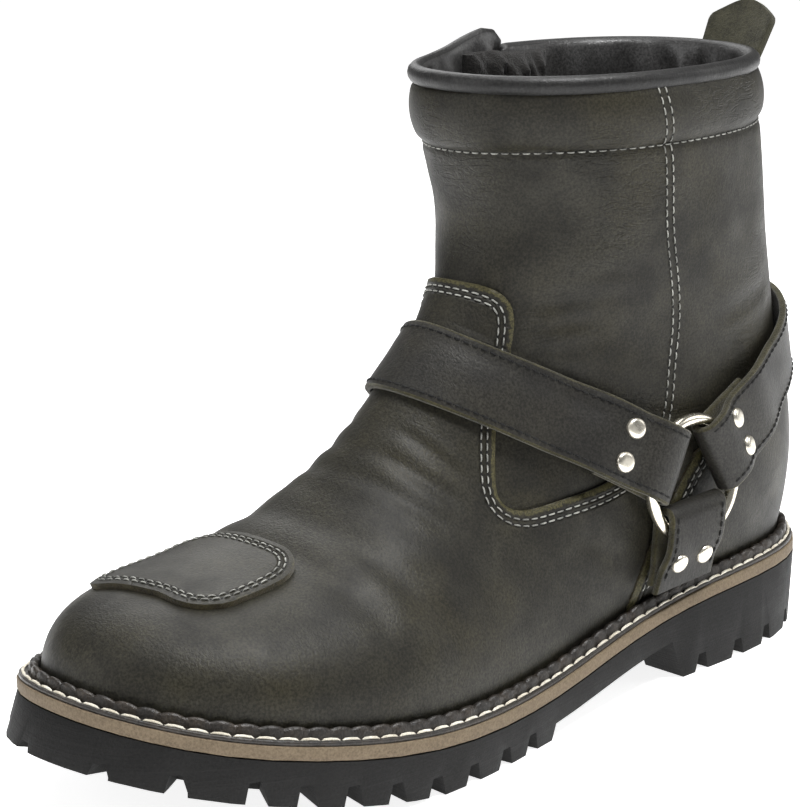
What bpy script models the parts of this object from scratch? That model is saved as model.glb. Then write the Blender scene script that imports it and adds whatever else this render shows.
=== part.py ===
"""Short harness motorcycle boot for the left foot, standing on its sole.

Sizes are millimetres here, and become metres when a mesh is made. A place on the boot is
(x, station, height): x runs to the outer side of the foot, station runs forward from the
back of the heel seat to the toe, and height runs up from the floor. In the scene the toe
points to -Y and the outer side to +X.
"""
import math

import bmesh
import bpy
import numpy as np
from mathutils import Matrix, Vector
from mathutils.bvhtree import BVHTree

MM = 0.001
GAP = 0.3
SHARP_ANGLE = math.radians(35.0)

HEEL_SEAT_Y = 147.3
MIDDLE_X = 1.0

LAST_LENGTH = 289.0
BALL_WIDTH = 101.0
UPPER_WALL = 2.4
PANEL_THICK = 1.8
PATCH_THICK = 1.6
CUFF_RUN = 1.88
CUFF_SWELL = 2.2
BINDING_RADIUS = 2.9

MIDSOLE_THICK = 4.2
WELT_THICK = 1.6
WELT_RIB = 5.2
WELT_INSET = 0.7
SOLE_MARGIN = 9.0
INSOLE_THICK = 4.0

TREAD_THICK = 14.8
TOE_TREAD_THICK = 12.0
TREAD_TAPER = 1.2
ARCH_THICK = 9.0
LUG_DEPTH = 6.0
LUG_REACH = 17.0
GROOVE_WIDTH = 6.5
GROOVE_TAPER = 1.5
TREAD_END = 0.488
HEEL_BREAST = 0.686
BREAST_SLOPE = 0.012
TOE_FLARE = 0.5
# Shares of the rim, from toe to heel, where grooves part the side lugs.
BALL_GROOVES = (0.165, 0.204, 0.244, 0.286, 0.328, 0.371, 0.415, 0.456)
OUTER_TOE_GROOVES = (0.055, 0.108)
INNER_TOE_GROOVES = (0.015, 0.068, 0.118)
HEEL_GROOVES = (0.735, 0.791, 0.842, 0.893, 0.947)

STRAP_WIDTH = 25.0
STRAP_THICK = 2.4
STRAP_LIFT = 2.7
STRAP_FOLD = 38.0
RING_STATION = 81.5
RING_HEIGHT = 68.0
RING_RADIUS = 19.5
RING_WIRE = 2.0
FRONT_STRAP_SLOPE = math.radians(30.0)
HEEL_STRAP_SLOPE = math.radians(27.0)
SIDE_STRAP_SLOPE = math.radians(10.0)
SIDE_STRAP_SKEW = 0.24
RIVET_RADIUS = 3.4
RIVET_DOME = 1.6
RIVET_REACH = 27.6
FRONT_RIVET_REACH = 32.0
SIDE_RIVET_REACH = 28.1
RIVET_SPREAD = 5.7

ZIP_STATION = 80.5
ZIP_FOOT = 57.0
ZIP_SLOT = 8.0
ZIP_FACING = 15.0
ZIP_TAPE = 26.0
ZIP_TEETH = 5.6
ZIP_DEPTH = 3.7
TAPE_THICK = 0.9
SLIDER_HEIGHT = 177.0
RUNG_LIFT = 4.7
FLAP_LIFT = 8.0
FLAP_REACH = 20.0

TAB_WIDTH = 27.5
TAB_THICK = 2.4
TAB_FOOT = 176.0
TAB_TOP = 215.5

# Feather line, where upper and sole meet, as shares of last length and ball width.
FEATHER_POINTS = (
    # station, outer, inner
    (0.021, 0.153, 0.153),
    (0.062, 0.257, 0.257),
    (0.138, 0.331, 0.327),
    (0.277, 0.356, 0.332),
    (0.415, 0.381, 0.312),
    (0.554, 0.455, 0.381),
    (0.675, 0.515, 0.465),
    (0.796, 0.500, 0.500),
    (0.893, 0.416, 0.455),
    (0.955, 0.282, 0.342),
    (0.990, 0.129, 0.208),
)
TOE_TIP_X = -0.04 * BALL_WIDTH

# Underside of the midsole, seen from the side.
SOLE_LINE = (
    # station, height
    (-12.0, 25.0),
    (45.0, 26.0),
    (90.5, 22.5),
    (140.5, 14.5),
    (181.0, 13.5),
    (215.5, 16.0),
    (250.5, 22.0),
    (275.5, 27.5),
    (303.0, 36.0),
)

# Ridge of the upper from the toe tip over the instep to the front of the collar.
RIDGE_POINTS = (
    # station, height
    (289.0, 37.0),
    (286.5, 46.5),
    (278.0, 53.8),
    (256.0, 58.4),
    (224.0, 62.8),
    (195.0, 77.3),
    (171.5, 99.5),
    (151.0, 123.0),
    (136.5, 152.0),
    (141.5, 181.5),
    (143.5, 196.0),
)

# Back of the upper from the heel seat to the back of the collar.
BACK_POINTS = (
    # station, height
    (0.0, 30.0),
    (-5.0, 51.0),
    (-3.0, 77.0),
    (5.0, 107.5),
    (11.0, 135.5),
    (15.0, 165.5),
    (19.5, 197.5),
)

# Sections of the upper. A run of 0 is the toe tip, 1 the heel seat and 2 the collar.
# Rise is the share of the ridge, and fullness the half width that a section keeps
# where the feather line closes in.
SECTIONS = (
    # run, rise, outer fullness, inner fullness, widest, low power, crown power, ridge x
    (0.00, 0.000, 0.0, 0.0, 0.30, 2.2, 2.3, -4.0),
    (0.05, 0.060, 5.0, 5.0, 0.30, 2.2, 2.3, -4.0),
    (0.12, 0.140, 9.0, 9.0, 0.28, 2.2, 2.3, -4.0),
    (0.20, 0.225, 12.0, 12.0, 0.25, 2.2, 2.2, -4.0),
    (0.30, 0.325, 14.0, 14.0, 0.22, 2.2, 2.1, -4.0),
    (0.42, 0.430, 14.0, 14.0, 0.20, 2.2, 2.0, -3.0),
    (0.55, 0.525, 15.0, 15.0, 0.20, 2.1, 1.9, -2.0),
    (0.70, 0.605, 18.0, 18.0, 0.24, 2.0, 1.9, -1.0),
    (0.80, 0.644, 19.6, 19.6, 0.29, 2.0, 1.9, 0.0),
    (0.85, 0.660, 23.0, 23.0, 0.32, 2.0, 1.9, 0.0),
    (0.90, 0.675, 28.6, 28.4, 0.34, 2.0, 1.9, 0.0),
    (0.95, 0.688, 35.2, 34.8, 0.36, 2.0, 2.0, 0.0),
    (1.00, 0.700, 38.2, 37.6, 0.38, 2.0, 2.0, 0.0),
    (1.25, 0.745, 38.2, 37.2, 0.42, 2.1, 2.1, 0.0),
    (1.50, 0.790, 41.0, 40.0, 0.46, 2.2, 2.2, 0.0),
    (1.70, 0.845, 43.5, 43.0, 0.48, 2.2, 2.2, 0.0),
    (1.85, 0.915, 45.0, 44.5, 0.50, 2.2, 2.2, 0.0),
    (2.00, 1.000, 46.0, 45.0, 0.50, 2.2, 2.2, 0.0),
)

# Edges of the panels, seen from the side.
VAMP_EDGE = (
    # station, height
    (316.0, 142.5),
    (144.0, 136.6),
    (138.8, 135.6),
    (135.4, 132.7),
    (133.9, 127.9),
    (135.2, 120.8),
    (137.5, 113.5),
    (142.0, 105.5),
    (147.0, 97.0),
    (149.8, 88.5),
    (152.1, 81.1),
    (153.8, 75.5),
    (153.2, 71.5),
    (149.5, 69.0),
    (143.8, 68.1),
    (131.6, 69.2),
    (119.8, 70.3),
    (108.5, 72.3),
    (94.5, 77.0),
    (76.0, 82.0),
    (70.0, 75.0),
    (79.0, 67.5),
    (86.5, 60.0),
    (94.5, 50.0),
    (101.5, 37.5),
)
COUNTER_EDGE = (
    # station, height
    (-33.0, 105.0),
    (-2.5, 101.0),
    (38.0, 87.5),
    (64.0, 79.0),
    (78.5, 67.0),
    (86.0, 59.5),
    (94.0, 49.5),
    (101.0, 37.0),
)
# Toe patch from above: middle, half size and corner radius.
PATCH_X, PATCH_STATION = -7.7, 239.0
PATCH_HALF_WIDTH, PATCH_HALF_LENGTH, PATCH_CORNER = 26.3, 21.3, 13.0


def cubic(knots, values, closed=False):
    """A function for the smooth curve that takes the given values at the knots."""
    knots = np.asarray(knots, dtype=float)
    values = np.asarray(values, dtype=float).reshape(len(knots), -1)
    span = np.diff(knots)
    slope = np.diff(values, axis=0) / span[:, None]
    system = np.eye(len(knots))
    right = np.zeros_like(values)
    for i in range(1, len(knots) - 1):
        system[i, i - 1:i + 2] = span[i - 1], 2.0 * (span[i - 1] + span[i]), span[i]
        right[i] = 6.0 * (slope[i] - slope[i - 1])
    if closed:
        system[0, -1] = -1.0
        system[-1] = 0.0
        system[-1, :2] = 2.0 * span[0], span[0]
        system[-1, -2:] = span[-1], 2.0 * span[-1]
        right[-1] = 6.0 * (slope[0] - slope[-1])
    bend = np.linalg.solve(system, right)

    def at(place):
        place = np.asarray(place, dtype=float)
        i = np.clip(np.searchsorted(knots, place, side="right") - 1, 0, len(span) - 1)
        h = span[i][..., None]
        before = knots[i + 1][..., None] - place[..., None]
        after = place[..., None] - knots[i][..., None]
        value = (bend[i] * before ** 3 + bend[i + 1] * after ** 3) / (6.0 * h)
        value += (values[i] / h - bend[i] * h / 6.0) * before
        value += (values[i + 1] / h - bend[i + 1] * h / 6.0) * after
        return value[..., 0] if value.shape[-1] == 1 else value

    return at


class Track:
    """A smooth plane curve through a few points, read by the share of its length."""

    SAMPLES = 600

    def __init__(self, points):
        points = np.asarray(points, dtype=float)
        self.line = points
        self.share = np.append(0.0, np.cumsum(np.linalg.norm(np.diff(points, axis=0), axis=1)))
        self.length = self.share[-1]
        self.share /= self.length
        self.tangent = np.gradient(points, axis=0)
        self.tangent /= np.linalg.norm(self.tangent, axis=1)[:, None]

    @classmethod
    def through(cls, points):
        points = np.asarray(points, dtype=float)
        chord = np.append(0.0, np.cumsum(np.linalg.norm(np.diff(points, axis=0), axis=1)))
        return cls(cubic(chord, points)(np.linspace(0.0, chord[-1], cls.SAMPLES)))

    def at(self, share, shift=0.0):
        """Points at shares of the length, moved to the left of the direction of travel by shift."""
        share = np.asarray(share, dtype=float)
        point = np.stack([np.interp(share, self.share, self.line[:, k]) for k in (0, 1)], axis=-1)
        way = np.stack([np.interp(share, self.share, self.tangent[:, k]) for k in (0, 1)], axis=-1)
        left = np.stack([-way[..., 1], way[..., 0]], axis=-1)
        return point + left * np.asarray(shift, dtype=float)[..., None]


def feather_tracks():
    """The two halves of the feather line as (x, station), each from the toe tip to the heel seat."""
    rows = np.array(FEATHER_POINTS) * (LAST_LENGTH, BALL_WIDTH, -BALL_WIDTH)
    outer = rows[::-1, [1, 0]]
    inner = rows[:, [2, 0]]
    tip = np.array([[TOE_TIP_X, LAST_LENGTH]])
    loop = np.vstack([tip, outer, [[0.0, 0.0]], inner, tip])
    chord = np.append(0.0, np.cumsum(np.linalg.norm(np.diff(loop, axis=0), axis=1)))
    seat = chord[len(outer) + 1]
    curve = cubic(chord, loop, closed=True)
    tracks = (
        Track(curve(np.linspace(0.0, seat, Track.SAMPLES))),
        Track(curve(np.linspace(chord[-1], seat, Track.SAMPLES))),
    )
    for end in (0, -1):
        way = tracks[0].tangent[end] - tracks[1].tangent[end]
        way /= np.linalg.norm(way)
        tracks[0].tangent[end] = way
        tracks[1].tangent[end] = -way
    return tracks


FEATHER_OUTER, FEATHER_INNER = feather_tracks()
RIDGE = Track.through(RIDGE_POINTS)
BACK = Track.through(BACK_POINTS)
SECTION_AT = cubic([row[0] for row in SECTIONS], [row[1:] for row in SECTIONS])
SOLE_AT = cubic([row[0] for row in SOLE_LINE], [row[1] for row in SOLE_LINE])


def scene_points(x, station, height):
    """Scene coordinates, in millimetres, of places on the boot."""
    x, station, height = np.broadcast_arrays(x, station, height)
    return np.stack([x - MIDDLE_X, HEEL_SEAT_Y - station, height], axis=-1)


def feather(side, share, margin=0.0):
    """Feather line of one side (1 outer, -1 inner) at shares from toe to heel, moved out by margin."""
    track = FEATHER_OUTER if side > 0 else FEATHER_INNER
    return track.at(share, margin * np.ones_like(share) * side)


def upper_foot(station):
    """Height of the lower edge of the upper."""
    return SOLE_AT(station) + MIDSOLE_THICK + 1.5 * GAP


def upper_middle(run, turn):
    """Places on the upper without its padding.

    Turn runs from the outer edge (-1) over the ridge (0) to the inner edge (1).
    """
    run, turn = np.broadcast_arrays(np.asarray(run, dtype=float), np.asarray(turn, dtype=float))
    low = np.clip(run, 0.0, 1.0)
    outer = feather(1, low)
    inner = feather(-1, low)
    back = BACK.at(np.clip(run - 1.0, 0.0, 1.0))
    is_outer = turn < 0.0
    on_foot = run <= 1.0
    foot = np.where(is_outer[..., None], outer, inner)
    middle = np.where(on_foot, (outer[..., 0] + inner[..., 0]) / 2.0, 0.0)
    start = np.where(on_foot, np.abs(foot[..., 0] - middle), 0.0)
    foot_station = np.where(on_foot, foot[..., 1], back[..., 0])
    foot_height = np.where(on_foot, upper_foot(foot[..., 1]), back[..., 1])
    rise, full_out, full_in, widest, low_power, crown_power, ridge_x = np.moveaxis(SECTION_AT(run), -1, 0)
    ridge = RIDGE.at(np.clip(rise, 0.0, 1.0))
    width = np.hypot(start, np.where(is_outer, full_out, full_in)) + 1e-6
    first = -np.arccos(np.clip(start / width, 0.0, 1.0))
    angle = first + (math.pi / 2.0 - first) * (1.0 - np.abs(turn))
    climb = (np.sin(angle) - np.sin(first)) / (1.0 - np.sin(first))
    below = np.clip((widest - climb) / widest, 0.0, 1.0) ** low_power
    above = np.clip((climb - widest) / (1.0 - widest), 0.0, 1.0) ** crown_power
    lower = (1.0 - (1.0 - (start / width) ** low_power) * below) ** (1.0 / low_power)
    upper = (1.0 - above) ** (1.0 / crown_power)
    half = width * np.where(climb < widest, lower, upper)
    return scene_points(
        middle * (1.0 - climb) + ridge_x * climb + np.where(is_outer, half, -half),
        foot_station * (1.0 - climb) + ridge[..., 0] * climb,
        foot_height * (1.0 - climb) + ridge[..., 1] * climb,
    )


def padding(run):
    """How far the padded cuff swells out of the shaft."""
    share = np.clip((run - CUFF_RUN) / (2.0 - CUFF_RUN), 0.0, 1.0)
    return CUFF_SWELL * np.sin(math.pi * share) ** 0.7


def flap_lift(run, turn, station):
    """How far the collar stands up at the front edge of the zip."""
    high = np.clip((run - 1.6) / 0.4, 0.0, 1.0) ** 2
    ahead = station - ZIP_STATION
    near = np.where(ahead > 0.0, np.exp(-((ahead / FLAP_REACH) ** 2)), 0.0)
    edge = np.clip(ahead / (ZIP_SLOT / 2.0), 0.0, 1.0)
    return np.where(turn > 0.0, FLAP_LIFT * high * near * edge, 0.0)


def upper_surface(run, turn, offset=0.0):
    """Places at a distance outside the upper's outer face."""
    run, turn = np.broadcast_arrays(np.asarray(run, dtype=float), np.asarray(turn, dtype=float))
    step = 0.002
    low_run = np.clip(run, step, 2.0 - step)
    along = upper_middle(low_run + step, turn) - upper_middle(low_run - step, turn)
    low_turn = np.clip(turn, step - 1.0, 1.0 - step)
    across = upper_middle(low_run, low_turn + step) - upper_middle(low_run, low_turn - step)
    normal = np.cross(along, across)
    normal /= np.linalg.norm(normal, axis=-1)[..., None]
    place = upper_middle(run, turn) + normal * (padding(run) + offset)[..., None]
    place[..., 2] += flap_lift(run, turn, HEEL_SEAT_Y - place[..., 1])
    return place


def add_part(name, points, faces, colour, roughness=0.6, metallic=0.0):
    """A named object with its own material, from points in millimetres."""
    mesh = bpy.data.meshes.new(name)
    mesh.from_pydata([tuple(p * MM) for p in np.asarray(points)], [], faces)
    tidy = bmesh.new()
    tidy.from_mesh(mesh)
    bmesh.ops.remove_doubles(tidy, verts=tidy.verts, dist=0.005 * MM)
    bmesh.ops.dissolve_degenerate(tidy, edges=tidy.edges, dist=0.002 * MM)
    bmesh.ops.triangulate(tidy, faces=tidy.faces)
    bmesh.ops.recalc_face_normals(tidy, faces=tidy.faces)
    tidy.to_mesh(mesh)
    tidy.free()
    mesh.shade_smooth()
    mesh.set_sharp_from_angle(angle=SHARP_ANGLE)
    part = bpy.data.objects.new(name, mesh)
    bpy.context.scene.collection.objects.link(part)
    material = bpy.data.materials.new(name)
    material.use_nodes = True
    shader = material.node_tree.nodes["Principled BSDF"]
    shader.inputs["Base Color"].default_value = (*colour, 1.0)
    shader.inputs["Roughness"].default_value = roughness
    shader.inputs["Metallic"].default_value = metallic
    mesh.materials.append(material)
    return part


def sheet(rows, columns, flip=False, start=0):
    """Quads of a grid of points that is numbered row by row."""
    quads = []
    for i in range(rows - 1):
        for j in range(columns - 1):
            a = start + i * columns + j
            quad = (a, a + 1, a + columns + 1, a + columns)
            quads.append(quad[::-1] if flip else quad)
    return quads


def shell(name, runs, turns, inside, outside, colour):
    """A closed wall between two distances from the upper's outer face."""
    rows, columns = len(runs), len(turns)
    grid = [upper_surface(runs[:, None], turns[None, :], d) for d in (outside, inside)]
    for face in grid:
        if runs[0] == 0.0:
            face[0] = face[0].mean(axis=0)
        for i in np.nonzero(runs > 1.0 - 1e-9)[0]:
            face[i, [0, -1]] = face[i, [0, -1]].mean(axis=0)
    grid = [face.reshape(-1, 3) for face in grid]
    count = rows * columns
    faces = sheet(rows, columns) + sheet(rows, columns, flip=True, start=count)
    for i in range(rows - 1):
        if runs[i + 1] <= 1.0 + 1e-9:
            for j in (0, columns - 1):
                a = i * columns + j
                faces.append((a, a + columns, a + columns + count, a + count))
    for i in (0, rows - 1):
        if runs[i] > 0.0:
            for j in range(columns - 1):
                a = i * columns + j
                faces.append((a, a + 1, a + 1 + count, a + count))
    return add_part(name, np.vstack(grid), faces, colour)


def layer(name, shares, margin, bottom, top, colour):
    """A closed sole layer between two heights, given as functions of the station."""
    rims = [feather(side, shares, margin) for side in (1, -1)]
    points = []
    for height in (top, bottom):
        for i in range(len(shares)):
            for rim in rims:
                points.append(scene_points(rim[i, 0], rim[i, 1], height(rim[i, 1])))
    count = 2 * len(shares)
    faces = sheet(len(shares), 2) + sheet(len(shares), 2, flip=True, start=count)
    for i in range(len(shares) - 1):
        for j in (0, 1):
            a = 2 * i + j
            faces.append((a, a + 2, a + 2 + count, a + count))
    return add_part(name, points, faces, colour)


def sweep(name, rings, colour, closed=False, **finish):
    """A closed solid through rings of points, joined end to end or capped."""
    rings = np.asarray(rings)
    rows, columns = rings.shape[:2]
    faces = []
    for i in range(rows if closed else rows - 1):
        for j in range(columns):
            a, b = i * columns, ((i + 1) % rows) * columns
            k = (j + 1) % columns
            faces.append((a + j, a + k, b + k, b + j))
    if not closed:
        faces.append(tuple(range(columns)))
        faces.append(tuple(range((rows - 1) * columns, rows * columns)))
    return add_part(name, rings.reshape(-1, 3), faces, colour, **finish)


def prism(name, outline, low, high):
    """A helper solid with an outline of (station, height), from x low to x high."""
    outline = np.asarray(outline, dtype=float)
    rings = [scene_points(x, outline[:, 0], outline[:, 1]) for x in (low, high)]
    return sweep(name, rings, (1.0, 0.0, 1.0))


def gather(name, helpers):
    """One helper out of several solids that lie apart."""
    points, faces = [], []
    for helper in helpers:
        start = len(points)
        points += [vertex.co / MM for vertex in helper.data.vertices]
        faces += [tuple(start + k for k in face.vertices) for face in helper.data.polygons]
        bpy.data.objects.remove(helper, do_unlink=True)
    return add_part(name, np.array(points), faces, (1.0, 0.0, 1.0))


def combine(part, helper, operation, flat=0.02):
    """Cuts, keeps or joins with a helper solid, which is removed after.

    Faces that lie flat to each other within an angle in degrees become one.
    """
    modifier = part.modifiers.new(operation.title(), "BOOLEAN")
    modifier.object = helper
    modifier.operation = operation
    modifier.solver = "EXACT"
    modifier.use_self = True
    bpy.context.view_layer.update()
    shape = part.evaluated_get(bpy.context.evaluated_depsgraph_get())
    mesh = bpy.data.meshes.new_from_object(shape)
    part.modifiers.clear()
    old = part.data
    finish = old.materials[0]
    part.data = mesh
    bpy.data.meshes.remove(old)
    mesh.name = part.name
    mesh.materials.clear()
    mesh.materials.append(finish)
    bpy.data.objects.remove(helper, do_unlink=True)
    tidy = bmesh.new()
    tidy.from_mesh(mesh)
    bmesh.ops.remove_doubles(tidy, verts=tidy.verts, dist=0.01 * MM)
    bmesh.ops.dissolve_degenerate(tidy, edges=tidy.edges, dist=0.01 * MM)
    bmesh.ops.dissolve_limit(tidy, angle_limit=math.radians(flat), verts=tidy.verts, edges=tidy.edges)
    bmesh.ops.triangulate(tidy, faces=tidy.faces)
    tidy.to_mesh(mesh)
    tidy.free()
    mesh.shade_smooth()
    mesh.set_sharp_from_angle(angle=SHARP_ANGLE)


def tread_height(station):
    """Height of the tread's face under the forefoot, which thins towards the toe."""
    share = np.clip((station - 0.7 * LAST_LENGTH) / (0.3 * LAST_LENGTH), 0.0, 1.0)
    return np.maximum(SOLE_AT(station) - TREAD_THICK + (TREAD_THICK - TOE_TREAD_THICK) * share, 0.0)


def sole_slope(station):
    """Slope of the sole line, which the side walls stand square to."""
    return (SOLE_AT(station + 2.0) - SOLE_AT(station - 2.0)) / 4.0


def outsole_rows(share):
    """Rim places (x, station, top, bottom) of the outsole for both sides at one share from toe to heel."""
    rows = []
    for side in (1, -1):
        x, station = feather(side, np.array([share]), SOLE_MARGIN)[0]
        top = SOLE_AT(station) - GAP
        if share <= TREAD_END:
            bottom = tread_height(station)
        elif share >= HEEL_BREAST + BREAST_SLOPE:
            bottom = 0.0
        else:
            bottom = SOLE_AT(station) - ARCH_THICK
        toe = np.clip(1.0 - share / 0.3, 0.0, 1.0)
        foot = feather(side, np.array([share]), SOLE_MARGIN - TREAD_TAPER * (1.0 - toe))[0]
        forward = sole_slope(station) * (top - bottom) * (1.0 + TOE_FLARE * toe)
        rows.append(((x, station, top), (foot[0], foot[1] + forward, bottom)))
    return rows


def outsole():
    """The moulded rubber sole: one slab with grooves cut between its lugs."""
    shares = np.concatenate([
        (1.0 - np.cos(np.linspace(0.0, math.pi / 2.0, 13))) * 0.25,
        np.linspace(0.25, TREAD_END, 9)[1:],
        np.linspace(TREAD_END + 0.008, HEEL_BREAST, 7),
        1.0 - (1.0 - HEEL_BREAST - BREAST_SLOPE) * (1.0 - np.sin(np.linspace(0.0, math.pi / 2.0, 15))),
    ])
    rings = []
    for share in shares:
        (outer_top, outer_foot), (inner_top, inner_foot) = outsole_rows(share)
        rings.append([scene_points(*place) for place in (outer_top, inner_top, inner_foot, outer_foot)])
    slab = sweep("outsole", rings, (0.012, 0.012, 0.013), roughness=0.75)
    grooves = []
    for side, toe in ((1, OUTER_TOE_GROOVES), (-1, INNER_TOE_GROOVES)):
        for share in (*toe, *BALL_GROOVES, *HEEL_GROOVES):
            grooves.append(groove(side, share, LUG_REACH))
    combine(slab, gather("grooves", grooves), "DIFFERENCE", flat=0.3)
    channels = [channel(0.0, TREAD_END + 0.03, LUG_REACH + 1.0, GROOVE_WIDTH)]
    channels.append(channel(HEEL_BREAST - 0.02, 1.0, LUG_REACH + 1.0, GROOVE_WIDTH))
    combine(slab, gather("channels", channels), "DIFFERENCE", flat=0.3)
    crossings = [crossing(station, 24.0) for station in (262.0, 238.0, 214.0, 190.0, 166.0)]
    crossings.append(crossing(48.0, 18.0))
    combine(slab, gather("crossings", crossings), "DIFFERENCE", flat=0.3)
    return slab


def groove(side, share, reach):
    """A cutter for one groove from the sole's edge inwards."""
    margins = np.array([SOLE_MARGIN + 8.0, SOLE_MARGIN - reach])
    edge, within = feather(side, np.array([share, share]), margins)
    way = (within - edge) / np.linalg.norm(within - edge)
    across = np.array([-way[1], way[0]])
    floor = 0.0 if share > HEEL_BREAST else tread_height(edge[1] + 8.0 * way[1])
    depth = LUG_DEPTH * (0.3 + 0.7 * min(1.0, share / 0.16))
    rings = []
    for place in (edge, within):
        ring = []
        for half, height in ((0.5, -6.0), (0.5, 0.0), (0.5 - GROOVE_TAPER / GROOVE_WIDTH, depth)):
            for sign in (1.0, -1.0):
                spot = place + across * (sign * half * GROOVE_WIDTH)
                ring.append(scene_points(spot[0], spot[1], floor + height))
        rings.append([ring[k] for k in (0, 2, 4, 5, 3, 1)])
    return sweep("groove", rings, (1.0, 0.0, 1.0))


def channel(first, last, inset, width):
    """A cutter that runs along the sole's edge, between the side lugs and the middle blocks."""
    shares = np.linspace(first, last, 11)
    outer = [(1, share) for share in shares]
    inner = [(-1, share) for share in shares]
    route = outer[::-1] + inner[1:] if first == 0.0 else outer + inner[::-1][1:]
    rings = []
    for side, share in route:
        near, far = [feather(side, np.array([share]), SOLE_MARGIN - inset - d)[0] for d in (0.0, width)]
        floor = tread_height(near[1]) if first == 0.0 else 0.0
        low, high = floor - 3.0, floor + LUG_DEPTH - 0.4
        corners = ((near, low), (near, high), (far, high), (far, low))
        rings.append([scene_points(spot[0], spot[1], height) for spot, height in corners])
    return sweep("channel", rings, (1.0, 0.0, 1.0))


def crossing(station, half):
    """A cutter across the middle blocks."""
    floor = tread_height(station) if station > 120.0 else 0.0
    low, high = floor - 3.0, floor + LUG_DEPTH - 0.8
    first, last = station - GROOVE_WIDTH / 2.0, station + GROOVE_WIDTH / 2.0
    return prism("crossing", ((first, low), (last, low), (last, high), (first, high)), -half, half)


def welt(tree):
    """The strip round the boot, with its rib against the upper."""
    edge = SOLE_MARGIN - WELT_INSET
    shares = (1.0 - np.cos(np.linspace(0.0, math.pi, 27))) / 2.0
    route = [(1, share) for share in shares] + [(-1, share) for share in shares[-2:0:-1]]
    rings = []
    for side, share in route:
        low = upper_margin(tree, side, share, WELT_THICK / 2.0)
        high = upper_margin(tree, side, share, WELT_RIB)
        section = (
            # margin, height above the midsole
            (min(low, high), GAP),
            (edge, GAP),
            (edge, WELT_THICK - 0.5),
            (edge - 0.5, WELT_THICK),
            (high + 2.6, WELT_THICK),
            (high + 2.2, WELT_RIB - 0.6),
            (high + 1.3, WELT_RIB),
            (high + 0.4, WELT_RIB - 0.4),
        )
        ring = []
        for margin, height in section:
            x, station = feather(side, np.array([share]), margin)[0]
            ring.append(scene_points(x, station, SOLE_AT(station) + MIDSOLE_THICK + height))
        rings.append(ring)
    return sweep("welt", rings, (0.012, 0.010, 0.009), closed=True)


def upper_margin(tree, side, share, height):
    """How far outside the feather line the panels stand at a height above the midsole."""
    within, edge = feather(side, np.array([share, share]), np.array([-8.0, 0.0]))
    level = SOLE_AT(edge[1]) + MIDSOLE_THICK + height
    start, middle = scene_points(*np.transpose([within, edge]), level)
    spot = hit(tree, start, middle - start)
    return np.linalg.norm(spot - start) - 8.0 + PANEL_THICK + 3.6 * GAP


def outer_face():
    """The upper's outer face as a tree for rays."""
    runs = np.unique(np.concatenate([np.linspace(0.0, 1.0, 60), np.linspace(1.0, 2.0, 60)]))
    turns = np.linspace(-1.0, 1.0, 81)
    grid = upper_surface(runs[:, None], turns[None, :])
    faces = sheet(len(runs), len(turns))
    return BVHTree.FromPolygons([Vector(p) for p in grid.reshape(-1, 3)], faces)


def hit(tree, start, way):
    """Where a ray from inside the boot leaves its outer face, or None."""
    found = tree.ray_cast(Vector(start), Vector(way))
    return None if found[0] is None else np.array(found[0])


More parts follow.
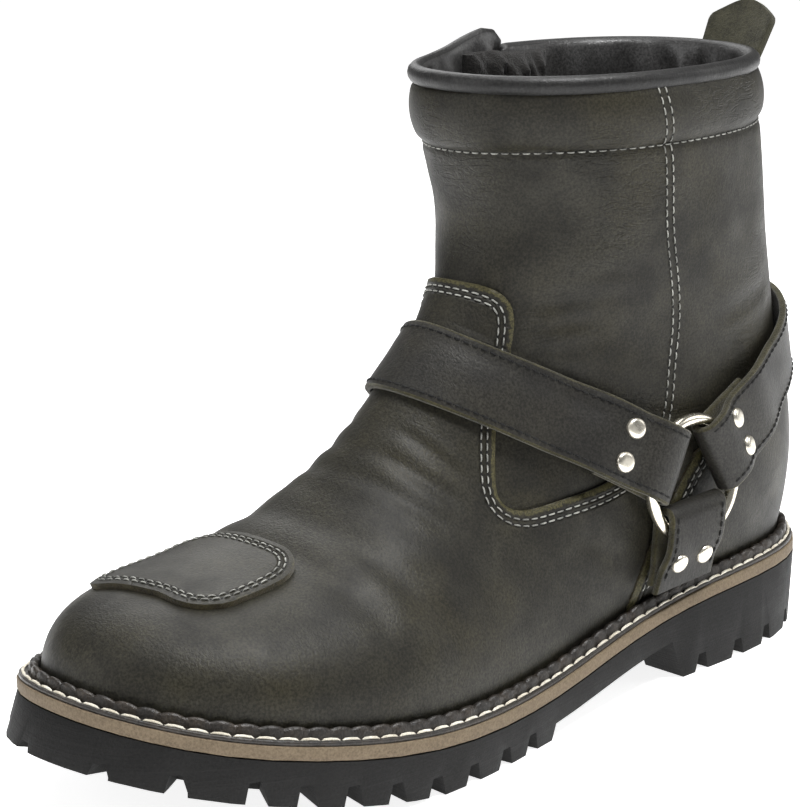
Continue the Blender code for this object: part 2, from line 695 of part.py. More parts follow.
class Harness:
    """The ring's plane on the outer ankle, and the straps that run from it over the upper."""

    WIDE = np.linspace(-0.5, 0.5, 5) * STRAP_WIDTH

    def __init__(self, tree):
        self.tree = tree
        self.core = scene_points(0.0, RING_STATION, RING_HEIGHT)
        out = np.array([1.0, 0.0, 0.0])
        spots = []
        for angle in np.linspace(0.0, 2.0 * math.pi, 24, endpoint=False):
            start = self.core + np.array([0.0, math.cos(angle), math.sin(angle)]) * RING_RADIUS
            spots.append(hit(tree, start, out))
        spots = np.array(spots)
        middle = spots.mean(axis=0)
        normal = np.linalg.svd(spots - middle)[2][2]
        self.normal = normal * np.sign(normal[0])
        lift = ((spots - middle) @ self.normal).max()
        centre = hit(tree, self.core, out)
        lift = max(lift, (centre - middle) @ self.normal - 3.0)
        self.wire = STRAP_LIFT + STRAP_THICK + GAP + RING_WIRE
        self.middle = middle + self.normal * (lift + self.wire)

    def ring(self):
        """The steel ring."""
        first = np.cross(self.normal, (0.0, 0.0, 1.0))
        first /= np.linalg.norm(first)
        second = np.cross(self.normal, first)
        rings = []
        for turn in np.linspace(0.0, 2.0 * math.pi, 28, endpoint=False):
            way = first * math.cos(turn) + second * math.sin(turn)
            ring = []
            for roll in np.linspace(0.0, 2.0 * math.pi, 6, endpoint=False):
                reach = way * (RING_RADIUS + RING_WIRE * math.cos(roll))
                ring.append(self.middle + reach + self.normal * (RING_WIRE * math.sin(roll)))
            rings.append(ring)
        return sweep("harness_ring", rings, (0.62, 0.60, 0.56), closed=True, roughness=0.2, metallic=1.0)

    def lay(self, way, is_end):
        """Rows of places and normals over the upper, by distance from the ring's middle, for one strap."""
        aside = np.cross((1.0, 0.0, 0.0), way)
        reach, places = [0.0], []
        for turn in np.arange(0.0, math.radians(215.0), math.radians(2.0)):
            ray = np.array([math.cos(turn), 0.0, 0.0]) + way * math.sin(turn)
            row = [hit(self.tree, self.core + aside * w, ray) for w in self.WIDE]
            if any(spot is None for spot in row):
                break
            places.append(row)
            if len(places) > 1:
                reach.append(reach[-1] + np.linalg.norm(places[-1][2] - places[-2][2]))
            if is_end(places[-1][2]):
                break
        places = np.array(places)
        along = np.gradient(places, axis=0)
        across = np.gradient(places, axis=1)
        normals = np.cross(along, across)
        normals /= np.linalg.norm(normals, axis=2)[..., None]
        normals *= np.sign((normals[0, 2] @ self.normal))
        return np.array(reach), places, normals

    def strap_point(self, laid, way, distance, column, height):
        """A place on a strap: flat over the ring, and following the upper further off."""
        reach, places, normals = laid
        row = [np.interp(distance, reach, places[:, column, k]) for k in range(3)]
        normal = np.array([np.interp(distance, reach, normals[:, column, k]) for k in range(3)])
        on_boot = np.array(row) + normal / np.linalg.norm(normal) * height
        flat_way = way - self.normal * (way @ self.normal)
        flat_way /= np.linalg.norm(flat_way)
        aside = np.cross(self.normal, flat_way)
        flat = self.middle + flat_way * distance + aside * self.WIDE[column]
        flat += self.normal * (height - self.wire)
        share = np.clip((distance - 26.0) / 22.0, 0.0, 1.0)
        share = share * share * (3.0 - 2.0 * share)
        return flat * (1.0 - share) + on_boot * share

    def strap(self, name, way, is_end, skew):
        """A strap that comes over the ring, folds round it and ends under itself.

        Skew is how much shorter the strap gets for each millimetre across it.
        """
        way = np.asarray(way)
        laid = self.lay(way, is_end)
        inner = STRAP_LIFT + STRAP_THICK / 2.0
        outer = self.wire + RING_WIRE + GAP + STRAP_THICK / 2.0
        bend = (outer - inner) / 2.0
        hole = RING_RADIUS - RING_WIRE - 1.5 * GAP
        nose = math.sqrt(hole ** 2 - (STRAP_WIDTH / 2.0) ** 2) + bend - STRAP_THICK / 2.0
        nose -= skew * STRAP_WIDTH / 2.0
        over = RING_RADIUS * math.hypot(1.0, skew)
        tunnel = over + RING_WIRE + 2.0
        last = laid[0][-1] - skew * STRAP_WIDTH / 2.0
        double = inner + STRAP_THICK + GAP
        path = [(d, inner) for d in np.linspace(last, STRAP_FOLD + 16.0, max(3, int(last / 8.0)))]
        if last < STRAP_FOLD + 22.0:
            path = [(last, double)]
        else:
            path += [(STRAP_FOLD + 4.0, double), (FRONT_RIVET_REACH, double + 0.2)]
        path += [(over + 4.6, double + 0.4), (over + 1.2, outer)]
        for turn in np.linspace(0.0, math.pi, 7):
            path.append((nose - bend * math.sin(turn), inner + bend + bend * math.cos(turn)))
        path += [(tunnel, inner), (FRONT_RIVET_REACH, inner), (min(STRAP_FOLD, last - 2.0), inner)]
        path = np.array(path)
        tangent = np.gradient(path, axis=0)
        tangent /= np.linalg.norm(tangent, axis=1)[:, None]
        side = np.stack([-tangent[:, 1], tangent[:, 0]], axis=1) * STRAP_THICK / 2.0
        rings = []
        for column in range(len(self.WIDE)):
            loop = np.vstack([path + side, (path - side)[::-1]])
            loop[:, 0] -= skew * self.WIDE[column]
            rings.append([self.strap_point(laid, way, d, column, h) for d, h in loop])
        ribbon(name, np.array(rings), (0.016, 0.015, 0.014))
        return laid, way

    def rivets(self, name, laid, way, reach, skew):
        """The two rivets that close a strap's fold."""
        top = STRAP_LIFT + 2.0 * STRAP_THICK + GAP + 0.4
        for number, sign in ((1, 1.0), (2, -1.0)):
            column = 2.0 + sign * RIVET_SPREAD / (STRAP_WIDTH / 4.0)
            low, high = int(math.floor(column)), int(math.ceil(column))
            share = column - low
            far = reach - skew * sign * RIVET_SPREAD

            def spot(distance, lift, side=0.0):
                first = self.strap_point(laid, way, distance, low, lift)
                second = self.strap_point(laid, way, distance, high, lift)
                return first * (1.0 - share - side) + second * (share + side)

            base = spot(far, top)
            up = np.cross(spot(far + 1.0, top) - base, spot(far, top, 0.2) - base)
            up /= np.linalg.norm(up)
            up *= np.sign(up @ (spot(far, top + 1.0) - base))
            dome(f"{name}_{number}", base + up * 0.45, up)


def ribbon(name, rings, colour):
    """A closed strip: each ring goes along its upper face and back along its lower face."""
    rows, columns = rings.shape[:2]
    half = columns // 2
    faces = []
    for i in range(rows - 1):
        for j in range(columns):
            k = (j + 1) % columns
            faces.append((i * columns + j, i * columns + k, (i + 1) * columns + k, (i + 1) * columns + j))
    for start in (0, (rows - 1) * columns):
        for j in range(half - 1):
            faces.append((start + j, start + j + 1, start + columns - 2 - j, start + columns - 1 - j))
    return add_part(name, rings.reshape(-1, 3), faces, colour)


def dome(name, base, up):
    """A domed rivet head."""
    first = np.cross(up, (0.0, 0.0, 1.0))
    first /= np.linalg.norm(first)
    second = np.cross(up, first)
    profile = (
        # share of radius, share of height
        (1.0, 0.0),
        (0.95, 0.40),
        (0.55, 0.95),
    )
    rings = []
    for reach, height in profile:
        ring = []
        for turn in np.linspace(0.0, 2.0 * math.pi, 12, endpoint=False):
            way = first * math.cos(turn) + second * math.sin(turn)
            ring.append(base + way * (reach * RIVET_RADIUS) + up * (height * RIVET_DOME))
        rings.append(ring)
    return sweep(name, rings, (0.62, 0.60, 0.56), roughness=0.25, metallic=1.0)


def panel_form(name, edge):
    """A helper that keeps what lies within a panel's edge and above the midsole."""
    stations = np.linspace(edge[-1][0], edge[0][0], 14)
    foot = [(station, upper_foot(np.clip(station, -14.0, 305.0))) for station in stations]
    return prism(name, [*edge, *foot], -100.0, 100.0)


def zip_bay(first, last):
    """A cutter on the inner side that keeps a panel off the zip."""
    corners = ((first, 0.0), (last, 0.0), (last, 260.0), (first, 260.0))
    return prism("zip_bay", [(ZIP_STATION + aside, height) for aside, height in corners], -100.0, -6.0)


def toe_patch(runs, turns):
    """The gear-shift patch, cut between two forms outside the vamp."""
    low = PANEL_THICK + 2.0 * GAP
    patch = shell("toe_patch", runs, turns, low, low + PATCH_THICK, (0.05, 0.048, 0.038))
    corners = []
    for start, sign_x, sign_y in ((0.0, 1, 1), (90.0, -1, 1), (180.0, -1, -1), (270.0, 1, -1)):
        for angle in np.radians(np.linspace(start, start + 90.0, 6)):
            corners.append((
                PATCH_X + sign_x * (PATCH_HALF_WIDTH - PATCH_CORNER) + PATCH_CORNER * math.cos(angle),
                PATCH_STATION + sign_y * (PATCH_HALF_LENGTH - PATCH_CORNER) + PATCH_CORNER * math.sin(angle),
            ))
    outline = np.array(corners)
    rings = [scene_points(outline[:, 0], outline[:, 1], height) for height in (20.0, 120.0)]
    combine(patch, sweep("patch_form", rings, (1.0, 0.0, 1.0)), "INTERSECT")
    return patch


def collar_binding(turns):
    """The rolled edge of the collar, open at the zip."""
    slot = ZIP_SLOT / 2.0 + 0.5
    corners = upper_surface(np.full_like(turns, 2.0), turns, -UPPER_WALL / 2.0)
    fine = np.linspace(-1.0, 1.0, 721)
    rim = np.stack([np.interp(fine, turns, corners[:, k]) for k in range(3)], axis=1)
    station = HEEL_SEAT_Y - rim[:, 1]
    free = ~((rim[:, 0] < 0.0) & (np.abs(station - ZIP_STATION) < slot))
    first = np.nonzero(~free)[0]
    route = np.vstack([rim[first[-1] + 1:-1], rim[:first[0]]])
    length = np.append(0.0, np.cumsum(np.linalg.norm(np.diff(route, axis=0), axis=1)))
    steps = np.linspace(0.0, length[-1], 41)
    line = np.stack([np.interp(steps, length, route[:, k]) for k in range(3)], axis=1)
    way = np.gradient(line, axis=0)
    way /= np.linalg.norm(way, axis=1)[:, None]
    rings = []
    for spot, ahead in zip(line, way):
        out = np.cross(ahead, (0.0, 0.0, 1.0))
        out /= np.linalg.norm(out)
        up = np.cross(out, ahead)
        centre = spot + up * (BINDING_RADIUS + 1.5 * GAP)
        ring = []
        for roll in np.linspace(0.0, 2.0 * math.pi, 7, endpoint=False):
            ring.append(centre + (out * math.cos(roll) + up * math.sin(roll)) * BINDING_RADIUS)
        rings.append(ring)
    return sweep("collar_binding", rings, (0.01, 0.01, 0.01), roughness=0.45)


def pull_tab(tree):
    """The tab that stands up behind the collar."""
    rows = (
        # share of height, share of half width, lean back
        (0.00, 0.74, 0.0),
        (0.30, 0.82, 2.0),
        (0.60, 0.92, 8.0),
        (0.82, 1.00, 13.2),
        (0.90, 0.88, 14.8),
        (0.97, 0.55, 16.0),
        (1.00, 0.22, 16.5),
    )
    rings = []
    for share, wide, lean in rows:
        height = TAB_FOOT + (TAB_TOP - TAB_FOOT) * share
        probe = min(height, 194.0)
        back = hit(tree, scene_points(0.4, 80.0, probe), (0.0, 1.0, 0.0))
        face, rear = [], []
        for x in np.linspace(-1.0, 1.0, 7) * wide * TAB_WIDTH / 2.0:
            round_off = x * x / 110.0
            spot = back + np.array([x, GAP + lean - round_off, height - back[2]])
            face.append(spot)
            rear.append(spot + (0.0, TAB_THICK, 0.0))
        rings.append(face + rear[::-1])
    return ribbon("pull_tab", np.array(rings), (0.07, 0.065, 0.045))


class Zip:
    """The closed zip on the inner side, in a frame that follows the shaft."""

    def __init__(self, tree):
        self.tree = tree

    def place(self, aside, height, offset):
        """A place beside the zip's line, at a height, outside the upper by offset."""
        start = scene_points(-4.0, ZIP_STATION + aside, height)
        spot = hit(self.tree, start, (-1.0, 0.0, 0.0))
        above = hit(self.tree, start + (0.0, 0.0, 1.5), (-1.0, 0.0, 0.0))
        below = hit(self.tree, start - (0.0, 0.0, 1.5), (-1.0, 0.0, 0.0))
        fore = hit(self.tree, start - (0.0, 3.0, 0.0), (-1.0, 0.0, 0.0))
        aft = hit(self.tree, start + (0.0, 3.0, 0.0), (-1.0, 0.0, 0.0))
        normal = np.cross(above - below, aft - fore)
        normal /= np.linalg.norm(normal)
        return spot + normal * (-np.sign(normal[0])) * offset

    def strip(self, name, section, low, high, colour):
        """A strip up the shaft with a section of (aside, offset)."""
        rings = []
        for height in np.linspace(low, high, 11):
            rings.append([self.place(aside, height, offset) for aside, offset in section])
        return sweep(name, rings, colour)

    def tape(self):
        """The zip's tape with its row of teeth."""
        face, back, half = -ZIP_DEPTH, -ZIP_DEPTH - TAPE_THICK, ZIP_TEETH / 2.0
        wide = ZIP_TAPE / 2.0
        section = (
            (wide, face), (half, face), (half, 0.0), (-half, 0.0), (-half, face),
            (-wide, face), (-wide, back), (-half, back), (half, back), (wide, back),
        )
        return self.strip("zip_tape", section, ZIP_FOOT + GAP, 188.0, (0.01, 0.01, 0.01))

    def flap(self):
        """The soft flap behind the zip."""
        face = -ZIP_DEPTH - TAPE_THICK - 3.0 * GAP
        section = [(aside, face) for aside in (20.0, 7.0, -7.0, -20.0)]
        section += [(aside, face - 2.0) for aside in (-20.0, -7.0, 7.0, 20.0)]
        return self.strip("zip_flap", section, ZIP_FOOT + GAP, 193.0, (0.006, 0.006, 0.006))

    def frame(self):
        """Middle and axes (aside, up, out) of the slider."""
        middle = self.place(0.0, SLIDER_HEIGHT, 0.8)
        up = self.place(0.0, SLIDER_HEIGHT + 5.0, 0.8) - self.place(0.0, SLIDER_HEIGHT - 5.0, 0.8)
        up /= np.linalg.norm(up)
        aside = np.array([0.0, -1.0, 0.0])
        aside -= up * (aside @ up)
        aside /= np.linalg.norm(aside)
        out = np.cross(aside, up)
        return middle, np.stack([aside, up, out * -np.sign(out[0])])

    def block(self, name, size, shift, colour):
        """A box in the slider's frame, given by its size and the middle of it."""
        middle, axes = self.frame()
        rings = []
        for up in (-0.5, 0.5):
            corners = ((-0.5, -0.5), (0.5, -0.5), (0.5, 0.5), (-0.5, 0.5))
            ring = [np.array([a, up, o]) * size + shift for a, o in corners]
            rings.append([middle + spot @ axes for spot in ring])
        return sweep(name, rings, colour, roughness=0.35, metallic=1.0)

    def slider(self):
        """The slider with the bail that holds its pull."""
        steel = (0.20, 0.20, 0.20)
        body = self.block("zip_slider", (9.0, 11.0, 3.4), (0.0, 0.0, 1.7), steel)
        for shift in ((0.0, 3.2, 4.6), (0.0, -3.2, 4.6)):
            combine(body, self.block("leg", (1.8, 1.4, 3.6), shift, steel), "UNION")
        combine(body, self.block("bridge", (1.5, 7.3, 1.2), (0.0, 0.0, 6.6), steel), "UNION")
        return body

    def hinge(self):
        """Middle of the pull's rung, and axes (aside, up, out) of a pull that hangs straight down."""
        middle, axes = self.frame()
        aside = np.array([axes[0, 0], axes[0, 1], 0.0])
        aside /= np.linalg.norm(aside)
        out = np.array([aside[1], -aside[0], 0.0])
        return middle + axes[2] * RUNG_LIFT, np.stack([aside, (0.0, 0.0, 1.0), out])

    def pull(self):
        """The pull tab, hung by its rung in the bail."""
        rung, axes = self.hinge()
        right = (
            # outer aside, outer up, inner aside, inner up
            (3.2, 0.8, 1.8, -0.8),
            (3.2, -9.0, 1.8, -7.5),
            (2.6, -26.0, 1.2, -8.0),
            (1.2, -28.0, 0.6, -8.0),
        )
        rows = right + tuple((-a, b, -c, d) for a, b, c, d in right[::-1])
        outer = [row[:2] for row in rows]
        inner = [row[2:] for row in rows]
        loops = []
        for loop, depth in ((outer, 0.8), (inner, 0.8), (inner, -0.8), (outer, -0.8)):
            loops.append([rung + np.array([a, u, depth]) @ axes for a, u in loop])
        rings = [[loops[k][i] for k in range(4)] for i in range(len(outer))]
        part = sweep("zip_pull", rings, (0.20, 0.20, 0.20), closed=True, roughness=0.35, metallic=1.0)
        part.data.transform(Matrix.Translation(Vector(-rung * MM)))
        part.location = rung * MM
        return part


def main():
    """Builds every part of the boot."""
    for item in list(bpy.data.objects):
        bpy.data.objects.remove(item, do_unlink=True)
    leather = (0.050, 0.048, 0.040)
    toe = (1.0 - np.cos(np.linspace(0.0, math.pi / 2.0, 6))) * 0.2
    waist = np.linspace(0.2, 0.83, 8)[1:]
    heel = np.array([0.89, 0.945, 1.0])
    shaft = np.append(np.linspace(1.0, CUFF_RUN, 9)[1:], np.linspace(CUFF_RUN, 2.0, 5)[1:])
    runs = np.concatenate([toe, waist, heel, shaft])
    turns = np.linspace(-1.0, 1.0, 21)
    upper = shell("upper", runs, turns, -UPPER_WALL, 0.0, leather)
    half = ZIP_SLOT / 2.0
    slot = ((-half, ZIP_FOOT), (half, ZIP_FOOT), (half, 260.0), (-half, 260.0))
    combine(upper, prism("slot", [(ZIP_STATION + s, z) for s, z in slot], -90.0, -8.0), "DIFFERENCE")
    panel_runs = np.concatenate([toe, waist, heel, np.linspace(1.0, 1.5, 6)[1:]])
    vamp = shell("vamp", panel_runs, turns, GAP, GAP + PANEL_THICK, leather)
    combine(vamp, panel_form("vamp_form", VAMP_EDGE), "INTERSECT")
    combine(vamp, zip_bay(-80.0, ZIP_FACING), "DIFFERENCE")
    counter_runs = np.concatenate([waist[waist > 0.5], heel, np.linspace(1.0, 1.55, 6)[1:]])
    counter = shell("counter", counter_runs, turns, GAP, GAP + PANEL_THICK, leather)
    combine(counter, panel_form("counter_form", COUNTER_EDGE), "INTERSECT")
    combine(counter, zip_bay(-ZIP_FACING, 80.0), "DIFFERENCE")
    toe_patch(panel_runs[(panel_runs > 0.03) & (panel_runs < 0.5)], turns[np.abs(turns) < 0.75])

    shares = (1.0 - np.cos(np.linspace(0.0, math.pi, 37))) / 2.0
    bed = MIDSOLE_THICK + GAP
    tan = (0.25, 0.18, 0.11)
    black = (0.02, 0.02, 0.02)
    layer("midsole", shares, SOLE_MARGIN, SOLE_AT, lambda s: SOLE_AT(s) + MIDSOLE_THICK, tan)
    layer("insole", shares, -UPPER_WALL - 1.5, upper_foot, lambda s: SOLE_AT(s) + bed + INSOLE_THICK, black)
    outsole()
    tree = outer_face()
    welt(tree)
    collar_binding(turns)
    pull_tab(tree)
    harness = Harness(tree)
    harness.ring()
    facing = ZIP_FACING + 2.0
    fore = HEEL_SEAT_Y - ZIP_STATION - facing
    aft = HEEL_SEAT_Y - ZIP_STATION + facing
    straps = (
        # name, direction, skew, rivets' reach, end of the strap
        ("front", (0.0, -math.cos(FRONT_STRAP_SLOPE), math.sin(FRONT_STRAP_SLOPE)), 0.0, FRONT_RIVET_REACH,
         lambda p: p[0] < -10.0 and p[1] > fore),
        ("heel", (0.0, math.cos(HEEL_STRAP_SLOPE), math.sin(HEEL_STRAP_SLOPE)), 0.0, RIVET_REACH,
         lambda p: p[0] < -10.0 and p[1] < aft),
        ("side", (0.0, -math.sin(SIDE_STRAP_SLOPE), -math.cos(SIDE_STRAP_SLOPE)), SIDE_STRAP_SKEW,
         SIDE_RIVET_REACH, lambda p: p[2] < 32.4),
    )
    for name, way, skew, reach, is_end in straps:
        laid, way = harness.strap(f"{name}_strap", way, is_end, skew)
        harness.rivets(f"rivet_{name}", laid, way, reach, skew)
    closure = Zip(tree)
    closure.tape()
    closure.flap()
    closure.slider()
    closure.pull()


main()
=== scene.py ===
"""Looks of the left harness boot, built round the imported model.

Sizes are millimetres here, and become metres when a mesh is made. A place on the boot is
(x, station, height): x runs to the outer side of the foot, station runs forward from the back
of the heel seat, and height runs up from the floor. A run of 0 is the toe tip, 1 the heel seat
and 2 the collar; a turn runs from the outer edge (-1) over the ridge (0) to the inner edge (1).
"""
import logging
import math
from dataclasses import dataclass, field
from enum import Enum
from typing import Callable, ClassVar, Optional, Sequence

import bmesh
import bpy
import numpy as np
from mathutils import Matrix, Vector
from mathutils.bvhtree import BVHTree

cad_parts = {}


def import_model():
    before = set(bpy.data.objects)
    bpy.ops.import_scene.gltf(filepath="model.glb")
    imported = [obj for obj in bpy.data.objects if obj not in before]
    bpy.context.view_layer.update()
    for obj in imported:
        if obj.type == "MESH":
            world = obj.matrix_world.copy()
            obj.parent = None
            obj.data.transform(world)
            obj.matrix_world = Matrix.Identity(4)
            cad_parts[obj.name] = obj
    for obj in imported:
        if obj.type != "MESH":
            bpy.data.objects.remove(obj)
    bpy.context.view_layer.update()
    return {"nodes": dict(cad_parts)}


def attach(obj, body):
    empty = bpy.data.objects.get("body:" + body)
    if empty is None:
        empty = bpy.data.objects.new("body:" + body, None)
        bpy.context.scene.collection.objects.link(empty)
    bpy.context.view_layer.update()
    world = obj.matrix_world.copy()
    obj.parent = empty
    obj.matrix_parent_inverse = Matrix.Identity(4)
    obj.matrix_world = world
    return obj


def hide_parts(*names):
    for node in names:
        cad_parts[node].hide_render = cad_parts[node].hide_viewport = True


Array = np.ndarray
Colour = tuple[float, float, float]
Curve = Callable[[Array], Array]
Relief = Callable[[Array, Array], Array]
Piece = bpy.types.Object
Material = bpy.types.Material
Socket = bpy.types.NodeSocket

LOG = logging.getLogger("boot")
MM = 0.001
TINY = 1e-9
FAR = 99.0
BOOT = "boot"


class Side(Enum):
    """The two sides of the foot."""

    OUTER = 1
    INNER = -1


class Face(Enum):
    """Which material slot a face of a leather piece takes."""

    GRAIN = 0
    BACK = 1
    RAW = 2


def unit(ways: Array) -> Array:
    """Directions with a length of 1."""
    return ways / np.linalg.norm(ways, axis=-1, keepdims=True)


def lengths(line: Array) -> Array:
    """Distance along a line at each of its points."""
    return np.append(0.0, np.cumsum(np.linalg.norm(np.diff(line, axis=0), axis=1)))


def ramp(value: Array, start: float, end: float) -> Array:
    """How far values are on their way from a start to an end, from 0 to 1."""
    return np.clip((value - start) / (end - start), 0.0, 1.0)


def ease(share: Array) -> Array:
    """A change from 0 to 1 that starts and stops softly."""
    return share * share * (3.0 - 2.0 * share)


def smooth_curve(knots: Sequence[float], values: Sequence, closed: bool = False) -> Curve:
    """Makes the smooth curve that takes given values at its knots.

    Args:
        knots: Rising places along the curve.
        values: One value, or row of values, for each knot.
        closed: Whether the end runs smoothly into the start.

    Returns:
        A function from places to values.
    """
    knots = np.asarray(knots, dtype=float)
    values = np.asarray(values, dtype=float).reshape(len(knots), -1)
    span = np.diff(knots)
    slope = np.diff(values, axis=0) / span[:, None]
    system = np.eye(len(knots))
    right = np.zeros_like(values)
    for i in range(1, len(knots) - 1):
        system[i, i - 1:i + 2] = span[i - 1], 2.0 * (span[i - 1] + span[i]), span[i]
        right[i] = 6.0 * (slope[i] - slope[i - 1])
    if closed:
        system[0, -1] = -1.0
        system[-1] = 0.0
        system[-1, :2] = 2.0 * span[0], span[0]
        system[-1, -2:] = span[-1], 2.0 * span[-1]
        right[-1] = 6.0 * (slope[0] - slope[-1])
    bend = np.linalg.solve(system, right)

    def at(place: Array) -> Array:
        """Values of the curve at places."""
        place = np.asarray(place, dtype=float)
        i = np.clip(np.searchsorted(knots, place, side="right") - 1, 0, len(span) - 1)
        h = span[i][..., None]
        before = knots[i + 1][..., None] - place[..., None]
        after = place[..., None] - knots[i][..., None]
        value = (bend[i] * before ** 3 + bend[i + 1] * after ** 3) / (6.0 * h)
        value += (values[i] / h - bend[i] * h / 6.0) * before
        value += (values[i + 1] / h - bend[i + 1] * h / 6.0) * after
        return value[..., 0] if value.shape[-1] == 1 else value

    return at


def round_corners(points: Sequence, times: int = 2) -> Array:
    """Rounds the corners of an open line by cutting each of them.

    Args:
        points: Points of the line.
        times: How often the corners are cut.

    Returns:
        The points of the rounder line, with the same ends.
    """
    line = np.asarray(points, dtype=float)
    for _ in range(times):
        near = line[:-1] * 0.75 + line[1:] * 0.25
        far = line[:-1] * 0.25 + line[1:] * 0.75
        between = np.stack([near, far], axis=1).reshape(-1, line.shape[1])
        line = np.vstack([line[:1], between, line[-1:]])
    return line


def even_steps(line: Array, step: float) -> Array:
    """Points at even steps along a line.

    Args:
        line: Points of the line.
        step: About how far apart the new points lie.

    Returns:
        The new points, from end to end.
    """
    length = lengths(line)
    count = max(2, int(round(length[-1] / step)) + 1)
    places = np.linspace(0.0, length[-1], count)
    return np.stack([np.interp(places, length, line[:, k]) for k in range(line.shape[1])], axis=1)


def line_distance(spots: Array, line: Array) -> tuple[Array, Array]:
    """Distance of plane spots from a line.

    Args:
        spots: Spots as (..., 2).
        line: Points of the line as (n, 2).

    Returns:
        The distance, and the share of the line's length where the line is nearest.
    """
    best = np.full(spots.shape[:-1], np.inf)
    share = np.zeros(spots.shape[:-1])
    length = lengths(line)
    for k in range(len(line) - 1):
        way = line[k + 1] - line[k]
        along = np.clip(((spots - line[k]) @ way) / (way @ way + 1e-12), 0.0, 1.0)
        gap = np.linalg.norm(spots - line[k] - along[..., None] * way, axis=-1)
        nearer = gap < best
        best = np.where(nearer, gap, best)
        share = np.where(nearer, (length[k] + along * (length[k + 1] - length[k])) / length[-1], share)
    return best, share


def within(spots: Array, outline: Array) -> Array:
    """Whether plane spots lie within a closed outline.

    Args:
        spots: Spots as (..., 2).
        outline: Corners of the outline as (n, 2).

    Returns:
        True or False for each spot.
    """
    inside = np.zeros(spots.shape[:-1], dtype=bool)
    u, v = spots[..., 0], spots[..., 1]
    for (u0, v0), (u1, v1) in zip(outline, np.roll(outline, -1, axis=0)):
        if v0 != v1:
            inside ^= ((v0 > v) != (v1 > v)) & (u < (u1 - u0) * (v - v0) / (v1 - v0) + u0)
    return inside


class Track:
    """A smooth plane curve, read by the share of its length."""

    SAMPLES = 600

    def __init__(self, points: Array) -> None:
        """Keeps the points, their shares of the length and the directions of travel."""
        self.line = points
        along = lengths(points)
        self.share = along / along[-1]
        self.tangent = unit(np.gradient(points, axis=0))

    @classmethod
    def through(cls, points: Sequence) -> "Track":
        """A track through a few points."""
        points = np.asarray(points, dtype=float)
        chord = lengths(points)
        return cls(smooth_curve(chord, points)(np.linspace(0.0, chord[-1], cls.SAMPLES)))

    def at(self, share: Array, shift: Array | float = 0.0) -> Array:
        """Points of the track, moved aside.

        Args:
            share: Shares of the length.
            shift: How far the points move to the left of the direction of travel.

        Returns:
            The points as (..., 2).
        """
        share = np.asarray(share, dtype=float)
        point = np.stack([np.interp(share, self.share, self.line[:, k]) for k in (0, 1)], axis=-1)
        way = np.stack([np.interp(share, self.share, self.tangent[:, k]) for k in (0, 1)], axis=-1)
        left = np.stack([-way[..., 1], way[..., 0]], axis=-1)
        return point + left * np.asarray(shift, dtype=float)[..., None]


